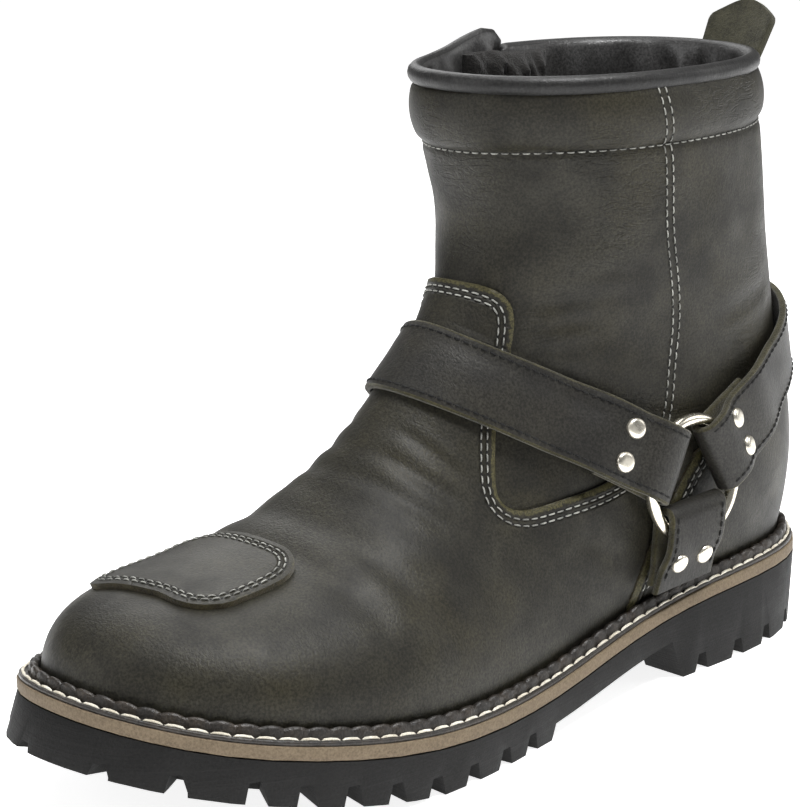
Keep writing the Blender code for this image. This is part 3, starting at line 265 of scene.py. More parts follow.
@dataclass
class Last:
    """The form that the boot is built on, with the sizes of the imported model."""

    heel_seat_y: float = 147.3
    middle_x: float = 1.0
    length: float = 289.0
    ball_width: float = 101.0
    gap: float = 0.3
    midsole_thick: float = 4.2
    cuff_run: float = 1.868
    cuff_tilt: float = 0.039
    cuff_swell: float = 2.2
    zip_station: float = 80.5
    zip_slot: float = 8.0
    flap_run: float = 1.6
    flap_rise: float = 6.4
    flap_reach: float = 20.0
    feather_points: tuple = (
        (0.021, 0.153, 0.153), (0.062, 0.257, 0.257), (0.138, 0.331, 0.327), (0.277, 0.356, 0.332),
        (0.415, 0.381, 0.312), (0.554, 0.455, 0.381), (0.675, 0.515, 0.465), (0.796, 0.500, 0.500),
        (0.893, 0.416, 0.455), (0.955, 0.282, 0.342), (0.990, 0.129, 0.208),
    )
    sole_line: tuple = (
        (-12.0, 25.0), (45.0, 26.0), (90.5, 22.5), (140.5, 14.5), (181.0, 13.5),
        (215.5, 16.0), (250.5, 22.0), (275.5, 27.5), (303.0, 36.0),
    )
    ridge_points: tuple = (
        (289.0, 37.0), (286.5, 46.5), (278.0, 53.8), (256.0, 58.4), (224.0, 62.8), (195.0, 77.3),
        (171.5, 99.5), (151.0, 123.0), (136.5, 152.0), (141.5, 181.5), (143.5, 196.0),
    )
    back_points: tuple = (
        (0.0, 30.0), (-5.0, 51.0), (-3.0, 77.0), (5.0, 107.5), (11.0, 135.5), (15.0, 165.5),
        (19.5, 197.5),
    )
    sections: tuple = (
        # run, rise, outer fullness, inner fullness, widest, low power, crown power, ridge x
        (0.00, 0.000, 0.0, 0.0, 0.30, 2.2, 2.3, -4.0),
        (0.05, 0.060, 5.0, 5.0, 0.30, 2.2, 2.3, -4.0),
        (0.12, 0.140, 9.0, 9.0, 0.28, 2.2, 2.3, -4.0),
        (0.20, 0.225, 12.0, 12.0, 0.25, 2.2, 2.2, -4.0),
        (0.30, 0.325, 14.0, 14.0, 0.22, 2.2, 2.1, -4.0),
        (0.42, 0.430, 14.0, 14.0, 0.20, 2.2, 2.0, -3.0),
        (0.55, 0.525, 15.0, 15.0, 0.20, 2.1, 1.9, -2.0),
        (0.70, 0.605, 18.0, 18.0, 0.24, 2.0, 1.9, -1.0),
        (0.80, 0.644, 19.6, 19.6, 0.29, 2.0, 1.9, 0.0),
        (0.85, 0.660, 23.0, 23.0, 0.32, 2.0, 1.9, 0.0),
        (0.90, 0.675, 28.6, 28.4, 0.34, 2.0, 1.9, 0.0),
        (0.95, 0.688, 35.2, 34.8, 0.36, 2.0, 2.0, 0.0),
        (1.00, 0.700, 38.2, 37.6, 0.38, 2.0, 2.0, 0.0),
        (1.25, 0.745, 38.2, 37.2, 0.42, 2.1, 2.1, 0.0),
        (1.50, 0.790, 41.0, 40.0, 0.46, 2.2, 2.2, 0.0),
        (1.70, 0.845, 43.5, 43.0, 0.48, 2.2, 2.2, 0.0),
        (1.85, 0.915, 45.0, 44.5, 0.50, 2.2, 2.2, 0.0),
        (2.00, 1.000, 46.0, 45.0, 0.50, 2.2, 2.2, 0.0),
    )

    def __post_init__(self) -> None:
        """Makes the curves from the tables."""
        self.ridge = Track.through(self.ridge_points)
        self.back = Track.through(self.back_points)
        sections, sole = np.array(self.sections), np.array(self.sole_line)
        self.section_at = smooth_curve(sections[:, 0], sections[:, 1:])
        self.sole_at = smooth_curve(sole[:, 0], sole[:, 1])
        self.rims = self.feather_tracks()

    def feather_tracks(self) -> dict[Side, Track]:
        """The two halves of the feather line as (x, station), from the toe tip to the heel seat."""
        rows = np.array(self.feather_points) * (self.length, self.ball_width, -self.ball_width)
        tip = np.array([[-0.04 * self.ball_width, self.length]])
        outer = rows[::-1, [1, 0]]
        loop = np.vstack([tip, outer, [[0.0, 0.0]], rows[:, [2, 0]], tip])
        chord = lengths(loop)
        seat = chord[len(outer) + 1]
        curve = smooth_curve(chord, loop, closed=True)
        first = Track(curve(np.linspace(0.0, seat, Track.SAMPLES)))
        second = Track(curve(np.linspace(chord[-1], seat, Track.SAMPLES)))
        for end in (0, -1):
            way = unit(first.tangent[end] - second.tangent[end])
            first.tangent[end] = way
            second.tangent[end] = -way
        return {Side.OUTER: first, Side.INNER: second}

    def scene(self, x: Array, station: Array, height: Array) -> Array:
        """Scene coordinates of places, still in millimetres."""
        x, station, height = np.broadcast_arrays(x, station, height)
        return np.stack([x - self.middle_x, self.heel_seat_y - station, height], axis=-1).astype(float)

    def station(self, place: Array) -> Array:
        """Stations of scene places."""
        return self.heel_seat_y - place[..., 1]

    def feather(self, side: Side, share: Array, margin: Array | float = 0.0) -> Array:
        """The feather line of one side as (x, station), by shares from the toe tip, moved outwards."""
        return self.rims[side].at(share, margin * np.ones_like(share) * side.value)

    def upper_foot(self, station: Array) -> Array:
        """Height of the upper's lower edge."""
        return self.sole_at(station) + self.midsole_thick + 1.5 * self.gap

    def bare(self, run: Array, turn: Array) -> Array:
        """Places on the upper without its padding.

        Args:
            run: Runs from the toe to the collar.
            turn: Turns from the outer to the inner edge.

        Returns:
            Scene places as (..., 3).
        """
        run, turn = np.broadcast_arrays(np.asarray(run, dtype=float), np.asarray(turn, dtype=float))
        low = np.clip(run, 0.0, 1.0)
        outer = self.feather(Side.OUTER, low)
        inner = self.feather(Side.INNER, low)
        back = self.back.at(np.clip(run - 1.0, 0.0, 1.0))
        is_outer = turn < 0.0
        on_foot = run <= 1.0
        foot = np.where(is_outer[..., None], outer, inner)
        middle = np.where(on_foot, (outer[..., 0] + inner[..., 0]) / 2.0, 0.0)
        start = np.where(on_foot, np.abs(foot[..., 0] - middle), 0.0)
        foot_station = np.where(on_foot, foot[..., 1], back[..., 0])
        foot_height = np.where(on_foot, self.upper_foot(foot[..., 1]), back[..., 1])
        section = np.moveaxis(self.section_at(run), -1, 0)
        rise, full_out, full_in, widest, low_power, crown_power, ridge_x = section
        ridge = self.ridge.at(np.clip(rise, 0.0, 1.0))
        width = np.hypot(start, np.where(is_outer, full_out, full_in)) + 1e-6
        first = -np.arccos(np.clip(start / width, 0.0, 1.0))
        angle = first + (math.pi / 2.0 - first) * (1.0 - np.abs(turn))
        climb = (np.sin(angle) - np.sin(first)) / (1.0 - np.sin(first))
        below = np.clip((widest - climb) / widest, 0.0, 1.0) ** low_power
        above = np.clip((climb - widest) / (1.0 - widest), 0.0, 1.0) ** crown_power
        lower = (1.0 - (1.0 - (start / width) ** low_power) * below) ** (1.0 / low_power)
        upper = (1.0 - above) ** (1.0 / crown_power)
        half = width * np.where(climb < widest, lower, upper)
        return self.scene(
            middle * (1.0 - climb) + ridge_x * climb + np.where(is_outer, half, -half),
            foot_station * (1.0 - climb) + ridge[..., 0] * climb,
            foot_height * (1.0 - climb) + ridge[..., 1] * climb,
        )

    def normal(self, run: Array, turn: Array) -> Array:
        """Directions out of the upper."""
        step = 0.002
        low_run = np.clip(run, step, 2.0 - step)
        along = self.bare(low_run + step, turn) - self.bare(low_run - step, turn)
        low_turn = np.clip(turn, step - 1.0, 1.0 - step)
        across = self.bare(low_run, low_turn + step) - self.bare(low_run, low_turn - step)
        return unit(np.cross(along, across))

    def cuff(self, turn: Array) -> Array:
        """The run of the cuff's seam, which climbs to the back."""
        return self.cuff_run + self.cuff_tilt * np.abs(turn) ** 1.5

    def padding(self, run: Array, turn: Array) -> Array:
        """How far the padded cuff swells out of the shaft."""
        start = self.cuff(turn)
        share = ramp(run, start, 2.0)
        return self.cuff_swell * np.sin(math.pi * share) ** 0.7

    def flap_lift(self, run: Array, turn: Array, station: Array) -> Array:
        """How far the collar stands up at the front edge of the zip."""
        high = ramp(run, self.flap_run, 2.0) ** 2
        ahead = station - self.zip_station
        near = np.where(ahead > 0.0, np.exp(-((ahead / self.flap_reach) ** 2)), 0.0)
        edge = ramp(ahead, 0.0, self.zip_slot / 2.0)
        return np.where(turn > 0.0, self.flap_rise * high * near * edge, 0.0)

    def surface(self, run: Array, turn: Array, offset: Array | float = 0.0) -> Array:
        """Places at a distance outside the upper's outer face.

        Args:
            run: Runs from the toe to the collar.
            turn: Turns from the outer to the inner edge.
            offset: Distance out of the face.

        Returns:
            Scene places as (..., 3).
        """
        run, turn = np.broadcast_arrays(np.asarray(run, dtype=float), np.asarray(turn, dtype=float))
        lift = self.padding(run, turn) + offset
        place = self.bare(run, turn) + self.normal(run, turn) * lift[..., None]
        seam = (run > 1.0) & (np.abs(turn) > 1.0 - TINY)
        if seam.any():
            other = self.bare(run, -turn) + self.normal(run, -turn) * lift[..., None]
            place = np.where(seam[..., None], (place + other) / 2.0, place)
        place[..., 2] += self.flap_lift(run, turn, self.station(place))
        tip = run <= TINY
        if tip.any():
            place[tip] = place[tip].mean(axis=0)
        return place


def activate(piece: Piece) -> None:
    """Makes one object the only selected and the active one."""
    bpy.ops.object.select_all(action="DESELECT")
    piece.select_set(True)
    bpy.context.view_layer.objects.active = piece


def apply_modifier(piece: Piece, kind: str, **settings: object) -> None:
    """Adds a modifier to a piece and applies it.

    Args:
        piece: The piece.
        kind: Blender's name of the modifier's type.
        settings: Values of its settings.
    """
    activate(piece)
    modifier = piece.modifiers.new(kind.title(), kind)
    for name, value in settings.items():
        setattr(modifier, name, value)
    bpy.ops.object.modifier_apply(modifier=modifier.name)


def smooth(piece: Piece, angle: float) -> None:
    """Shades a piece smooth, with sharp edges above an angle in degrees."""
    activate(piece)
    bpy.ops.object.shade_smooth_by_angle(angle=math.radians(angle))


def add_piece(
    name: str,
    points: Array,
    faces: Sequence,
    finishes: Sequence[Material],
    kinds: Optional[Sequence[int]] = None,
    angle: float = 50.0,
    values: Optional[dict[str, Array]] = None,
) -> Piece:
    """Makes an object from points in millimetres.

    Args:
        name: Name of the piece.
        points: Points as (n, 3).
        faces: Corner numbers of each face.
        finishes: Materials of the piece.
        kinds: Number of the material for each face.
        angle: Edges sharper than this stay sharp.
        values: Named values kept at each point for the materials.

    Returns:
        The new object.
    """
    mesh = bpy.data.meshes.new(name)
    mesh.from_pydata((np.asarray(points) * MM).tolist(), [], faces)
    for finish in finishes:
        mesh.materials.append(finish)
    if kinds is not None:
        mesh.polygons.foreach_set("material_index", np.asarray(kinds, dtype=np.int32))
    for key, value in (values or {}).items():
        mesh.attributes.new(key, "FLOAT", "POINT").data.foreach_set("value", value.astype(np.float32))
    form = bmesh.new()
    form.from_mesh(mesh)
    bmesh.ops.recalc_face_normals(form, faces=form.faces)
    form.to_mesh(mesh)
    form.free()
    piece = bpy.data.objects.new(name, mesh)
    bpy.context.scene.collection.objects.link(piece)
    smooth(piece, angle)
    return piece


def settle(piece: Piece, nodes: Sequence[str] = (), body: str = BOOT) -> None:
    """Ties a finished piece to its body and the nodes that it stands for.

    Args:
        piece: The piece, in place.
        nodes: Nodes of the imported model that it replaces.
        body: The body that it moves with.
    """
    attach(piece, body)
    if nodes:
        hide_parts(*nodes)
    LOG.info("%s: %d faces on %s", piece.name, len(piece.data.polygons), body)


def tube_faces(rows: int, columns: int, closed: bool) -> list[tuple[int, ...]]:
    """Faces of a solid through rings of points.

    Args:
        rows: Number of rings.
        columns: Points in a ring.
        closed: Whether the last ring joins the first, or both ends are capped.

    Returns:
        Corner numbers of each face.
    """
    faces = []
    for i in range(rows if closed else rows - 1):
        a, b = i * columns, ((i + 1) % rows) * columns
        for j in range(columns):
            k = (j + 1) % columns
            faces.append((a + j, a + k, b + k, b + j))
    if not closed:
        faces.append(tuple(range(columns)))
        faces.append(tuple(range((rows - 1) * columns, rows * columns)))
    return faces


def copied_faces(faces: Sequence, copies: int, points: int, start: int = 0) -> list[tuple[int, ...]]:
    """Faces of many copies of one form with so many points, numbered from a start."""
    starts = range(start, start + copies * points, points)
    return [tuple(first + k for k in face) for first in starts for face in faces]


class Graph:
    """A small help to lay out the nodes of one material."""

    def __init__(self, name: str) -> None:
        """Starts a material with its shader and object coordinates."""
        self.material = bpy.data.materials.new(name)
        self.material.use_nodes = True
        self.tree = self.material.node_tree
        self.shader = self.tree.nodes["Principled BSDF"]
        self.coords = self.tree.nodes.new("ShaderNodeTexCoord").outputs["Object"]

    def link(self, start: Socket, end: Socket) -> None:
        """Joins two sockets."""
        self.tree.links.new(start, end)

    def put(self, value: object, socket: Socket) -> None:
        """Links a socket's value, or sets a plain one."""
        if isinstance(value, Socket):
            self.link(value, socket)
        elif isinstance(value, tuple) and socket.type == "RGBA":
            socket.default_value = (*value, 1.0)
        else:
            socket.default_value = value

    def node(self, kind: str, **inputs: object) -> bpy.types.Node:
        """Adds a node with values or links for its inputs, named with underscores."""
        node = self.tree.nodes.new(f"ShaderNode{kind}")
        for name, value in inputs.items():
            self.put(value, node.inputs[name.replace("_", " ")])
        return node

    def stretched(self, scale: tuple[float, float, float]) -> Socket:
        """Object coordinates, scaled along each axis."""
        return self.node("Mapping", Scale=scale, Vector=self.coords).outputs["Vector"]

    def noise(
        self,
        scale: float,
        detail: float = 2.0,
        rough: float = 0.55,
        twist: float = 0.0,
        where: Optional[Socket] = None,
    ) -> Socket:
        """Soft noise, with its spots for each metre, finer layers, their weight and distortion."""
        spots = {"Scale": scale, "Detail": detail, "Roughness": rough, "Distortion": twist}
        return self.node("TexNoise", **spots, Vector=where or self.coords).outputs[0]

    def waves(self, scale: float, axis: str, twist: float = 0.0) -> Socket:
        """Even waves along an axis."""
        node = self.node("TexWave", Scale=scale, Distortion=twist, Vector=self.coords)
        node.bands_direction = axis
        return node.outputs["Fac"]

    def value(self, name: str) -> Socket:
        """A value that the mesh keeps at its points."""
        node = self.node("Attribute")
        node.attribute_name = name
        return node.outputs["Fac"]

    def sum(self, kind: str, first: object, second: object = 0.0) -> Socket:
        """A sum of two values, by the name of the operation."""
        node = self.node("Math")
        node.operation = kind
        self.put(first, node.inputs[0])
        self.put(second, node.inputs[1])
        return node.outputs[0]

    def blend(self, first: Socket, second: Socket, share: float) -> Socket:
        """Two values in one, with the share of the second."""
        rest = self.sum("MULTIPLY", first, 1.0 - share)
        return self.sum("ADD", rest, self.sum("MULTIPLY", second, share))

    def band(
        self, value: Socket, low: float, high: float, first: float = 0.0, last: float = 1.0
    ) -> Socket:
        """A value spread smoothly over a band.

        Args:
            value: The value.
            low: Where the band starts.
            high: Where it ends.
            first: Result at its start.
            last: Result at its end.

        Returns:
            The result, level outside the band.
        """
        ends = {"From_Min": low, "From_Max": high, "To_Min": first, "To_Max": last}
        node = self.node("MapRange", Value=value, **ends)
        node.interpolation_type = "SMOOTHSTEP"
        return node.outputs["Result"]

    def mix(self, share: object, first: object, second: object, kind: str = "MIX") -> Socket:
        """A mix of two colours.

        Args:
            share: Share of the second one.
            first: First colour.
            second: Second colour.
            kind: How they are mixed.

        Returns:
            The mixed colour.
        """
        node = self.node("Mix")
        node.data_type = "RGBA"
        node.blend_type = kind
        self.put(share, node.inputs[0])
        self.put(first, node.inputs[6])
        self.put(second, node.inputs[7])
        return node.outputs[2]

    def bump(
        self, height: Socket, depth: float, under: Optional[Socket] = None
    ) -> Socket:
        """Normals of a fine relief.

        Args:
            height: Height from 0 to 1.
            depth: Depth in metres.
            under: Normals of a coarser relief below.

        Returns:
            The normals.
        """
        node = self.node("Bump", Strength=1.0, Distance=depth, Height=height)
        if under is not None:
            self.link(under, node.inputs["Normal"])
        return node.outputs["Normal"]

    def dress(self, **values: object) -> Material:
        """Sets or links sockets of the shader, named with underscores, and gives the material."""
        for name, value in values.items():
            self.put(value, self.shader.inputs[name.replace("_", " ")])
        return self.material


@dataclass(frozen=True)
class Finish:
    """A finish that wanders between a deep and a pale tone."""

    name: str
    deep: Colour
    pale: Colour


@dataclass(frozen=True)
class Leather(Finish):
    """Waxed or smooth leather with grain, mottling and a finer pore bump; with stitch rows it also gets a
    raw edge band and painted shade along the rows.
    """

    warm: Colour
    spread: float = 22.0
    grain: float = 1300.0
    depth: float = 0.0001
    rough: tuple[float, float] = (0.42, 0.58)
    rows: tuple[float, ...] = ()
    shine: float = 0.27
    raw: Colour = (0.086, 0.077, 0.034)
    band: float = 1.6
    wrinkle: float = 0.0

    def material(self) -> Material:
        """The material of this leather."""
        g = Graph(self.name)
        broad = g.noise(self.spread, 3.0, 0.55, 0.6)
        cloud = g.noise(self.spread * 3.4, 4.0, 0.6, 0.4)
        pores = g.noise(self.grain, 3.0, 0.6)
        tone = g.blend(broad, cloud, 0.38)
        colour = g.mix(g.band(tone, 0.36, 0.66), self.deep, self.pale)
        colour = g.mix(g.band(g.noise(self.spread * 1.7, 2.0), 0.48, 0.72, 0.0, 0.6), colour, self.warm)
        speck = g.band(pores, 0.32, 0.70, 0.54, 1.5)
        colour = g.mix(1.0, colour, speck, "MULTIPLY")
        fine = g.noise(self.grain * 0.36, 2.0, 0.6, 1.2, g.stretched((1.0, 1.6, 0.8)))
        normal = g.bump(fine, self.depth * 1.3)
        normal = g.bump(pores, self.depth, normal)
        if self.wrinkle:
            lines = g.noise(190.0, 3.0, 0.55, 0.7, g.stretched((0.6, 0.6, 2.0)))
            crack = g.band(g.sum("ABSOLUTE", g.sum("SUBTRACT", lines, 0.5)), 0.0, 0.08)
            calm = g.band(g.noise(self.spread * 0.9, 2.0), 0.46, 0.66, 1.0, 0.0)
            normal = g.bump(g.sum("MAXIMUM", crack, calm), self.wrinkle, normal)
        if self.rows:
            edge = g.value("edge")
            ragged = g.sum("ADD", edge, g.band(g.noise(700.0, 3.0), 0.3, 0.7, -0.35, 0.35))
            fibres = g.band(g.noise(1700.0, 3.0, 0.7), 0.35, 0.65)
            raw = g.mix(fibres, tuple(0.3 * c for c in self.raw), self.raw)
            colour = g.mix(g.band(ragged, self.band - 0.3, self.band + 0.2, 0.95, 0.0), colour, raw)
            # a mask of each stitch row's groove: it sinks the groove by bump and carries the painted shade
            # there
            groove_and_shade = None
            for row in self.rows:
                near = g.band(g.sum("ABSOLUTE", g.sum("SUBTRACT", edge, row)), 0.25, 1.1, 1.0, 0.0)
                groove_and_shade = near if groove_and_shade is None else g.sum("MAXIMUM", groove_and_shade, near)
            # painted shade: along the stitch rows the colour goes up to 30 % of the way towards a third of
            # the deep tone, as shade in the groove
            colour = g.mix(g.sum("MULTIPLY", groove_and_shade, 0.3), colour, tuple(0.3 * c for c in self.deep))
            normal = g.bump(g.sum("SUBTRACT", 1.0, groove_and_shade), 0.0003, normal)
        rough = g.band(tone, 0.3, 0.7, self.rough[1], self.rough[0])
        return g.dress(Base_Color=colour, Roughness=rough, Normal=normal, Specular_IOR_Level=self.shine)


@dataclass(frozen=True)
class RawEdge(Finish):
    """A cut leather edge, or rough suede, with short fibres."""

    fibre: float = 1500.0
    sheen: float = 0.25

    def material(self) -> Material:
        """The material of this edge."""
        g = Graph(self.name)
        fibres = g.noise(self.fibre, 4.0, 0.7, 0.8)
        patch = g.noise(self.fibre * 0.12, 3.0)
        tone = g.blend(fibres, patch, 0.4)
        colour = g.mix(g.band(tone, 0.34, 0.66), self.deep, self.pale)
        normal = g.bump(fibres, 0.00035)
        nap = {"Sheen_Weight": self.sheen, "Specular_IOR_Level": 0.2}
        return g.dress(Base_Color=colour, Roughness=0.92, Normal=normal, **nap)


@dataclass(frozen=True)
class Metal:
    """Plated metal with faint handling marks."""

    name: str
    tone: Colour
    rough: float = 0.16

    def material(self) -> Material:
        """The material of this metal."""
        g = Graph(self.name)
        marks = g.noise(260.0, 4.0, 0.65, 0.5)
        colour = g.mix(g.band(marks, 0.35, 0.7), self.tone, tuple(0.86 * c for c in self.tone))
        rough = g.band(marks, 0.3, 0.75, self.rough * 0.8, self.rough * 1.5)
        normal = g.bump(g.noise(60.0, 2.0), 0.00002)
        return g.dress(Base_Color=colour, Roughness=rough, Metallic=1.0, Normal=normal)


@dataclass(frozen=True)
class Rubber(Finish):
    """Moulded rubber with fine buffing lines and dust."""

    def material(self) -> Material:
        """The material of this rubber."""
        g = Graph(self.name)
        dust = g.noise(70.0, 5.0, 0.65)
        fine = g.noise(1400.0, 3.0, 0.7)
        lines = g.noise(120.0, 3.0, 0.6, 0.0, g.stretched((0.12, 0.12, 9.0)))
        tone = g.blend(dust, fine, 0.5)
        colour = g.mix(g.band(tone, 0.36, 0.68), self.deep, self.pale)
        colour = g.mix(g.band(lines, 0.55, 0.72, 0.0, 0.5), colour, self.pale)
        normal = g.bump(lines, 0.00016)
        normal = g.bump(fine, 0.00014, normal)
        rough = g.band(dust, 0.3, 0.7, 0.62, 0.78)
        return g.dress(Base_Color=colour, Roughness=rough, Normal=normal, Specular_IOR_Level=0.25)


@dataclass(frozen=True)
class Board(Finish):
    """Pressed sole board with a speckle and darker streaks along its edge."""

    def material(self) -> Material:
        """The material of this board."""
        g = Graph(self.name)
        speck = g.noise(1300.0, 4.0, 0.75)
        streak = g.noise(70.0, 4.0, 0.6, 0.3, g.stretched((1.0, 1.0, 3.0)))
        tone = g.blend(speck, streak, 0.22)
        colour = g.mix(g.band(tone, 0.34, 0.64), self.deep, self.pale)
        normal = g.bump(speck, 0.00012)
        return g.dress(Base_Color=colour, Roughness=0.72, Normal=normal, Specular_IOR_Level=0.3)


@dataclass(frozen=True)
class Cloth(Finish):
    """Woven or napped cloth."""

    pitch: float = 0.6
    nap: float = 0.0

    def material(self) -> Material:
        """The material of this cloth."""
        g = Graph(self.name)
        warp, weft = (g.waves(314.0 / self.pitch, axis, 0.4) for axis in "YZ")
        weave = g.sum("MULTIPLY", warp, weft)
        fuzz = g.noise(1100.0, 4.0, 0.7, 1.0)
        tone = g.blend(weave, fuzz, self.nap)
        colour = g.mix(g.band(tone, 0.2, 0.75), self.deep, self.pale)
        normal = g.bump(tone, 0.0002 + 0.0006 * self.nap)
        return g.dress(
            Base_Color=colour, Roughness=0.9, Normal=normal, Sheen_Weight=0.15, Specular_IOR_Level=0.2
        )


BOX = ((0, 1, 3, 2), (4, 6, 7, 5), (0, 4, 5, 1), (2, 3, 7, 6), (0, 2, 6, 4), (1, 5, 7, 3))
OCTAHEDRON = ((0, 1, 2), (1, 3, 2), (3, 4, 2), (4, 0, 2), (1, 0, 5), (3, 1, 5), (4, 3, 5), (0, 4, 5))


@dataclass(frozen=True)
class Thread(Finish):
    """Sewing thread: its colour, and the size and pitch of a stitch."""

    # a stitch: places along it, thickness and lift there
    STITCH: ClassVar = (
        (-1.0, 0.30, -0.35), (-0.62, 0.92, 0.42), (0.0, 1.0, 0.62), (0.62, 0.92, 0.42), (1.0, 0.30, -0.35),
    )
    SIDES: ClassVar = 6
    PRICK: ClassVar = 0.16
    pitch: float
    length: float
    width: float
    high: float

    def material(self) -> Material:
        """The material of this thread."""
        g = Graph(self.name)
        twist = g.noise(2600.0, 2.0, 0.6, 0.5)
        tone = g.noise(160.0, 3.0)
        colour = g.mix(g.band(tone, 0.35, 0.65), self.deep, self.pale)
        colour = g.mix(1.0, colour, g.band(twist, 0.3, 0.7, 0.72, 1.12), "MULTIPLY")
        normal = g.bump(twist, 0.0001)
        return g.dress(Base_Color=colour, Roughness=0.7, Normal=normal, Specular_IOR_Level=0.3)

    def hole(self) -> Material:
        """Painted shade of the needle's holes: a near-black material for small solids set in each hole."""
        return Graph(f"{self.name}_hole").dress(Base_Color=(0.004, 0.004, 0.004), Roughness=0.95)

    def sew(self, name: str, rows: Sequence[tuple[Array, Array]], slot: str) -> None:
        """Sews rows of stitches as one piece, each with a near-black solid of painted shade at the
        needle's hole before it.

        Args:
            name: Name of the piece.
            rows: For each row its points, and the directions out of the leather there.
            slot: Not used.
        """
        along, thick, lift = np.transpose(self.STITCH)
        rolls = np.linspace(0.0, 2.0 * math.pi, self.SIDES, endpoint=False)
        aside = np.outer(thick, np.cos(rolls)) * self.width / 2.0
        high = np.outer(thick, np.sin(rolls)) * self.high / 2.0 + (lift * self.high)[:, None]
        ahead = np.broadcast_to((along * self.length / 2.0)[:, None], aside.shape)
        stitch = np.stack([ahead, aside, high], axis=-1).reshape(-1, 3)
        # painted shade: each needle's hole gets a small octahedron that takes the near-black hole material
        reach = 0.4 * (self.pitch - self.length) + self.PRICK
        hole = np.vstack([np.diag((reach, reach, self.PRICK)), np.diag((-reach, -reach, -0.5))])
        stitches, holes = [], []
        for line, out in rows:
            both = even_steps(np.hstack([line, out]), self.pitch)
            way = unit(both[1:, :3] - both[:-1, :3])
            up = (both[1:, 3:] + both[:-1, 3:]) / 2.0
            up = unit(up - way * (up * way).sum(axis=1)[:, None])
            axes = np.stack([way, np.cross(way, up), up], axis=1)
            middle = (both[1:, :3] + both[:-1, :3]) / 2.0
            stitches.append(middle[:, None] + stitch @ axes)
            holes.append(both[:-1, None, :3] + hole @ axes)
        stitches, holes = np.vstack(stitches), np.vstack(holes)
        points = np.vstack([stitches.reshape(-1, 3), holes.reshape(-1, 3)])
        faces = copied_faces(tube_faces(len(along), self.SIDES, False), len(stitches), len(stitch))
        kinds = [0] * len(faces)
        faces += copied_faces(OCTAHEDRON, len(holes), len(hole), len(stitches) * len(stitch))
        kinds += [1] * (len(faces) - len(kinds))
        finishes = [self.material(), self.hole()]
        piece = add_piece(name, points, faces, finishes, kinds, angle=80.0)
        settle(piece)


@dataclass(frozen=True)
class Crease:
    """A soft fold of the leather, seen from the side, on both sides of the foot."""

    line: tuple[tuple[float, float], ...]
    depth: float
    width: float

    def relief(self, spots: Array) -> Array:
        """Height of the fold.

        Args:
            spots: Places as (station, height).

        Returns:
            Heights, below 0 in the trough and above 0 on its sides.
        """
        gap, share = line_distance(spots, round_corners(self.line))
        fade = ease(ramp(np.minimum(share, 1.0 - share), 0.0, 0.25))
        trough = -np.exp(-((gap / self.width) ** 2))
        sides = 0.45 * np.exp(-(((gap - 2.1 * self.width) / (1.1 * self.width)) ** 2))
        return (trough + sides) * fade * self.depth


CREASES = (
    Crease(((132.0, 128.0), (121.0, 130.0), (108.0, 131.0), (95.0, 129.0)), 0.55, 2.4),
    Crease(((131.0, 121.0), (121.0, 122.0), (109.0, 124.0)), 0.40, 1.9),
    Crease(((130.0, 114.5), (119.0, 114.0), (104.0, 117.0)), 0.35, 2.0),
    Crease(((121.0, 137.0), (108.0, 139.0), (94.0, 136.0)), 0.40, 3.2),
    Crease(((66.0, 117.0), (47.0, 120.0), (28.0, 126.0)), 0.60, 3.4),
    Crease(((62.0, 106.0), (44.0, 110.0), (24.0, 116.0)), 0.45, 2.8),
    Crease(((190.0, 84.0), (183.0, 75.0), (174.0, 66.0)), 0.40, 2.2),
    Crease(((182.0, 90.0), (175.0, 81.0), (167.0, 72.0)), 0.45, 2.0),
    Crease(((174.0, 96.0), (168.0, 87.0), (162.0, 79.0)), 0.35, 1.8),
    Crease(((206.0, 75.0), (203.0, 63.0), (194.0, 49.0), (186.0, 40.0)), 0.75, 5.0),
    Crease(((220.0, 70.0), (217.0, 58.0), (209.0, 46.0)), 0.55, 4.6),
    Crease(((196.0, 62.0), (186.0, 56.0), (172.0, 53.0)), 0.45, 3.0),
    Crease(((128.0, 58.0), (118.0, 52.0), (109.0, 44.0)), 0.50, 4.0),
    Crease(((126.0, 168.0), (118.0, 150.0), (112.0, 140.0)), 0.55, 6.5),
    Crease(((58.0, 172.0), (50.0, 155.0), (47.0, 138.0)), 0.60, 7.0),
)


@dataclass
class Patch:
    """A piece cut out of a net: its places (run, turn), its faces and the distance from its edge."""

    run: Array
    turn: Array
    faces: list[tuple[int, ...]]
    edge: Array

    def rim(self) -> list[tuple[int, int]]:
        """Edges that only one face has, in the direction of that face."""
        seen: dict[tuple[int, int], tuple[int, int]] = {}
        for face in self.faces:
            for a, b in zip(face, face[1:] + face[:1]):
                key = (min(a, b), max(a, b))
                if key in seen:
                    del seen[key]
                else:
                    seen[key] = (a, b)
        return list(seen.values())


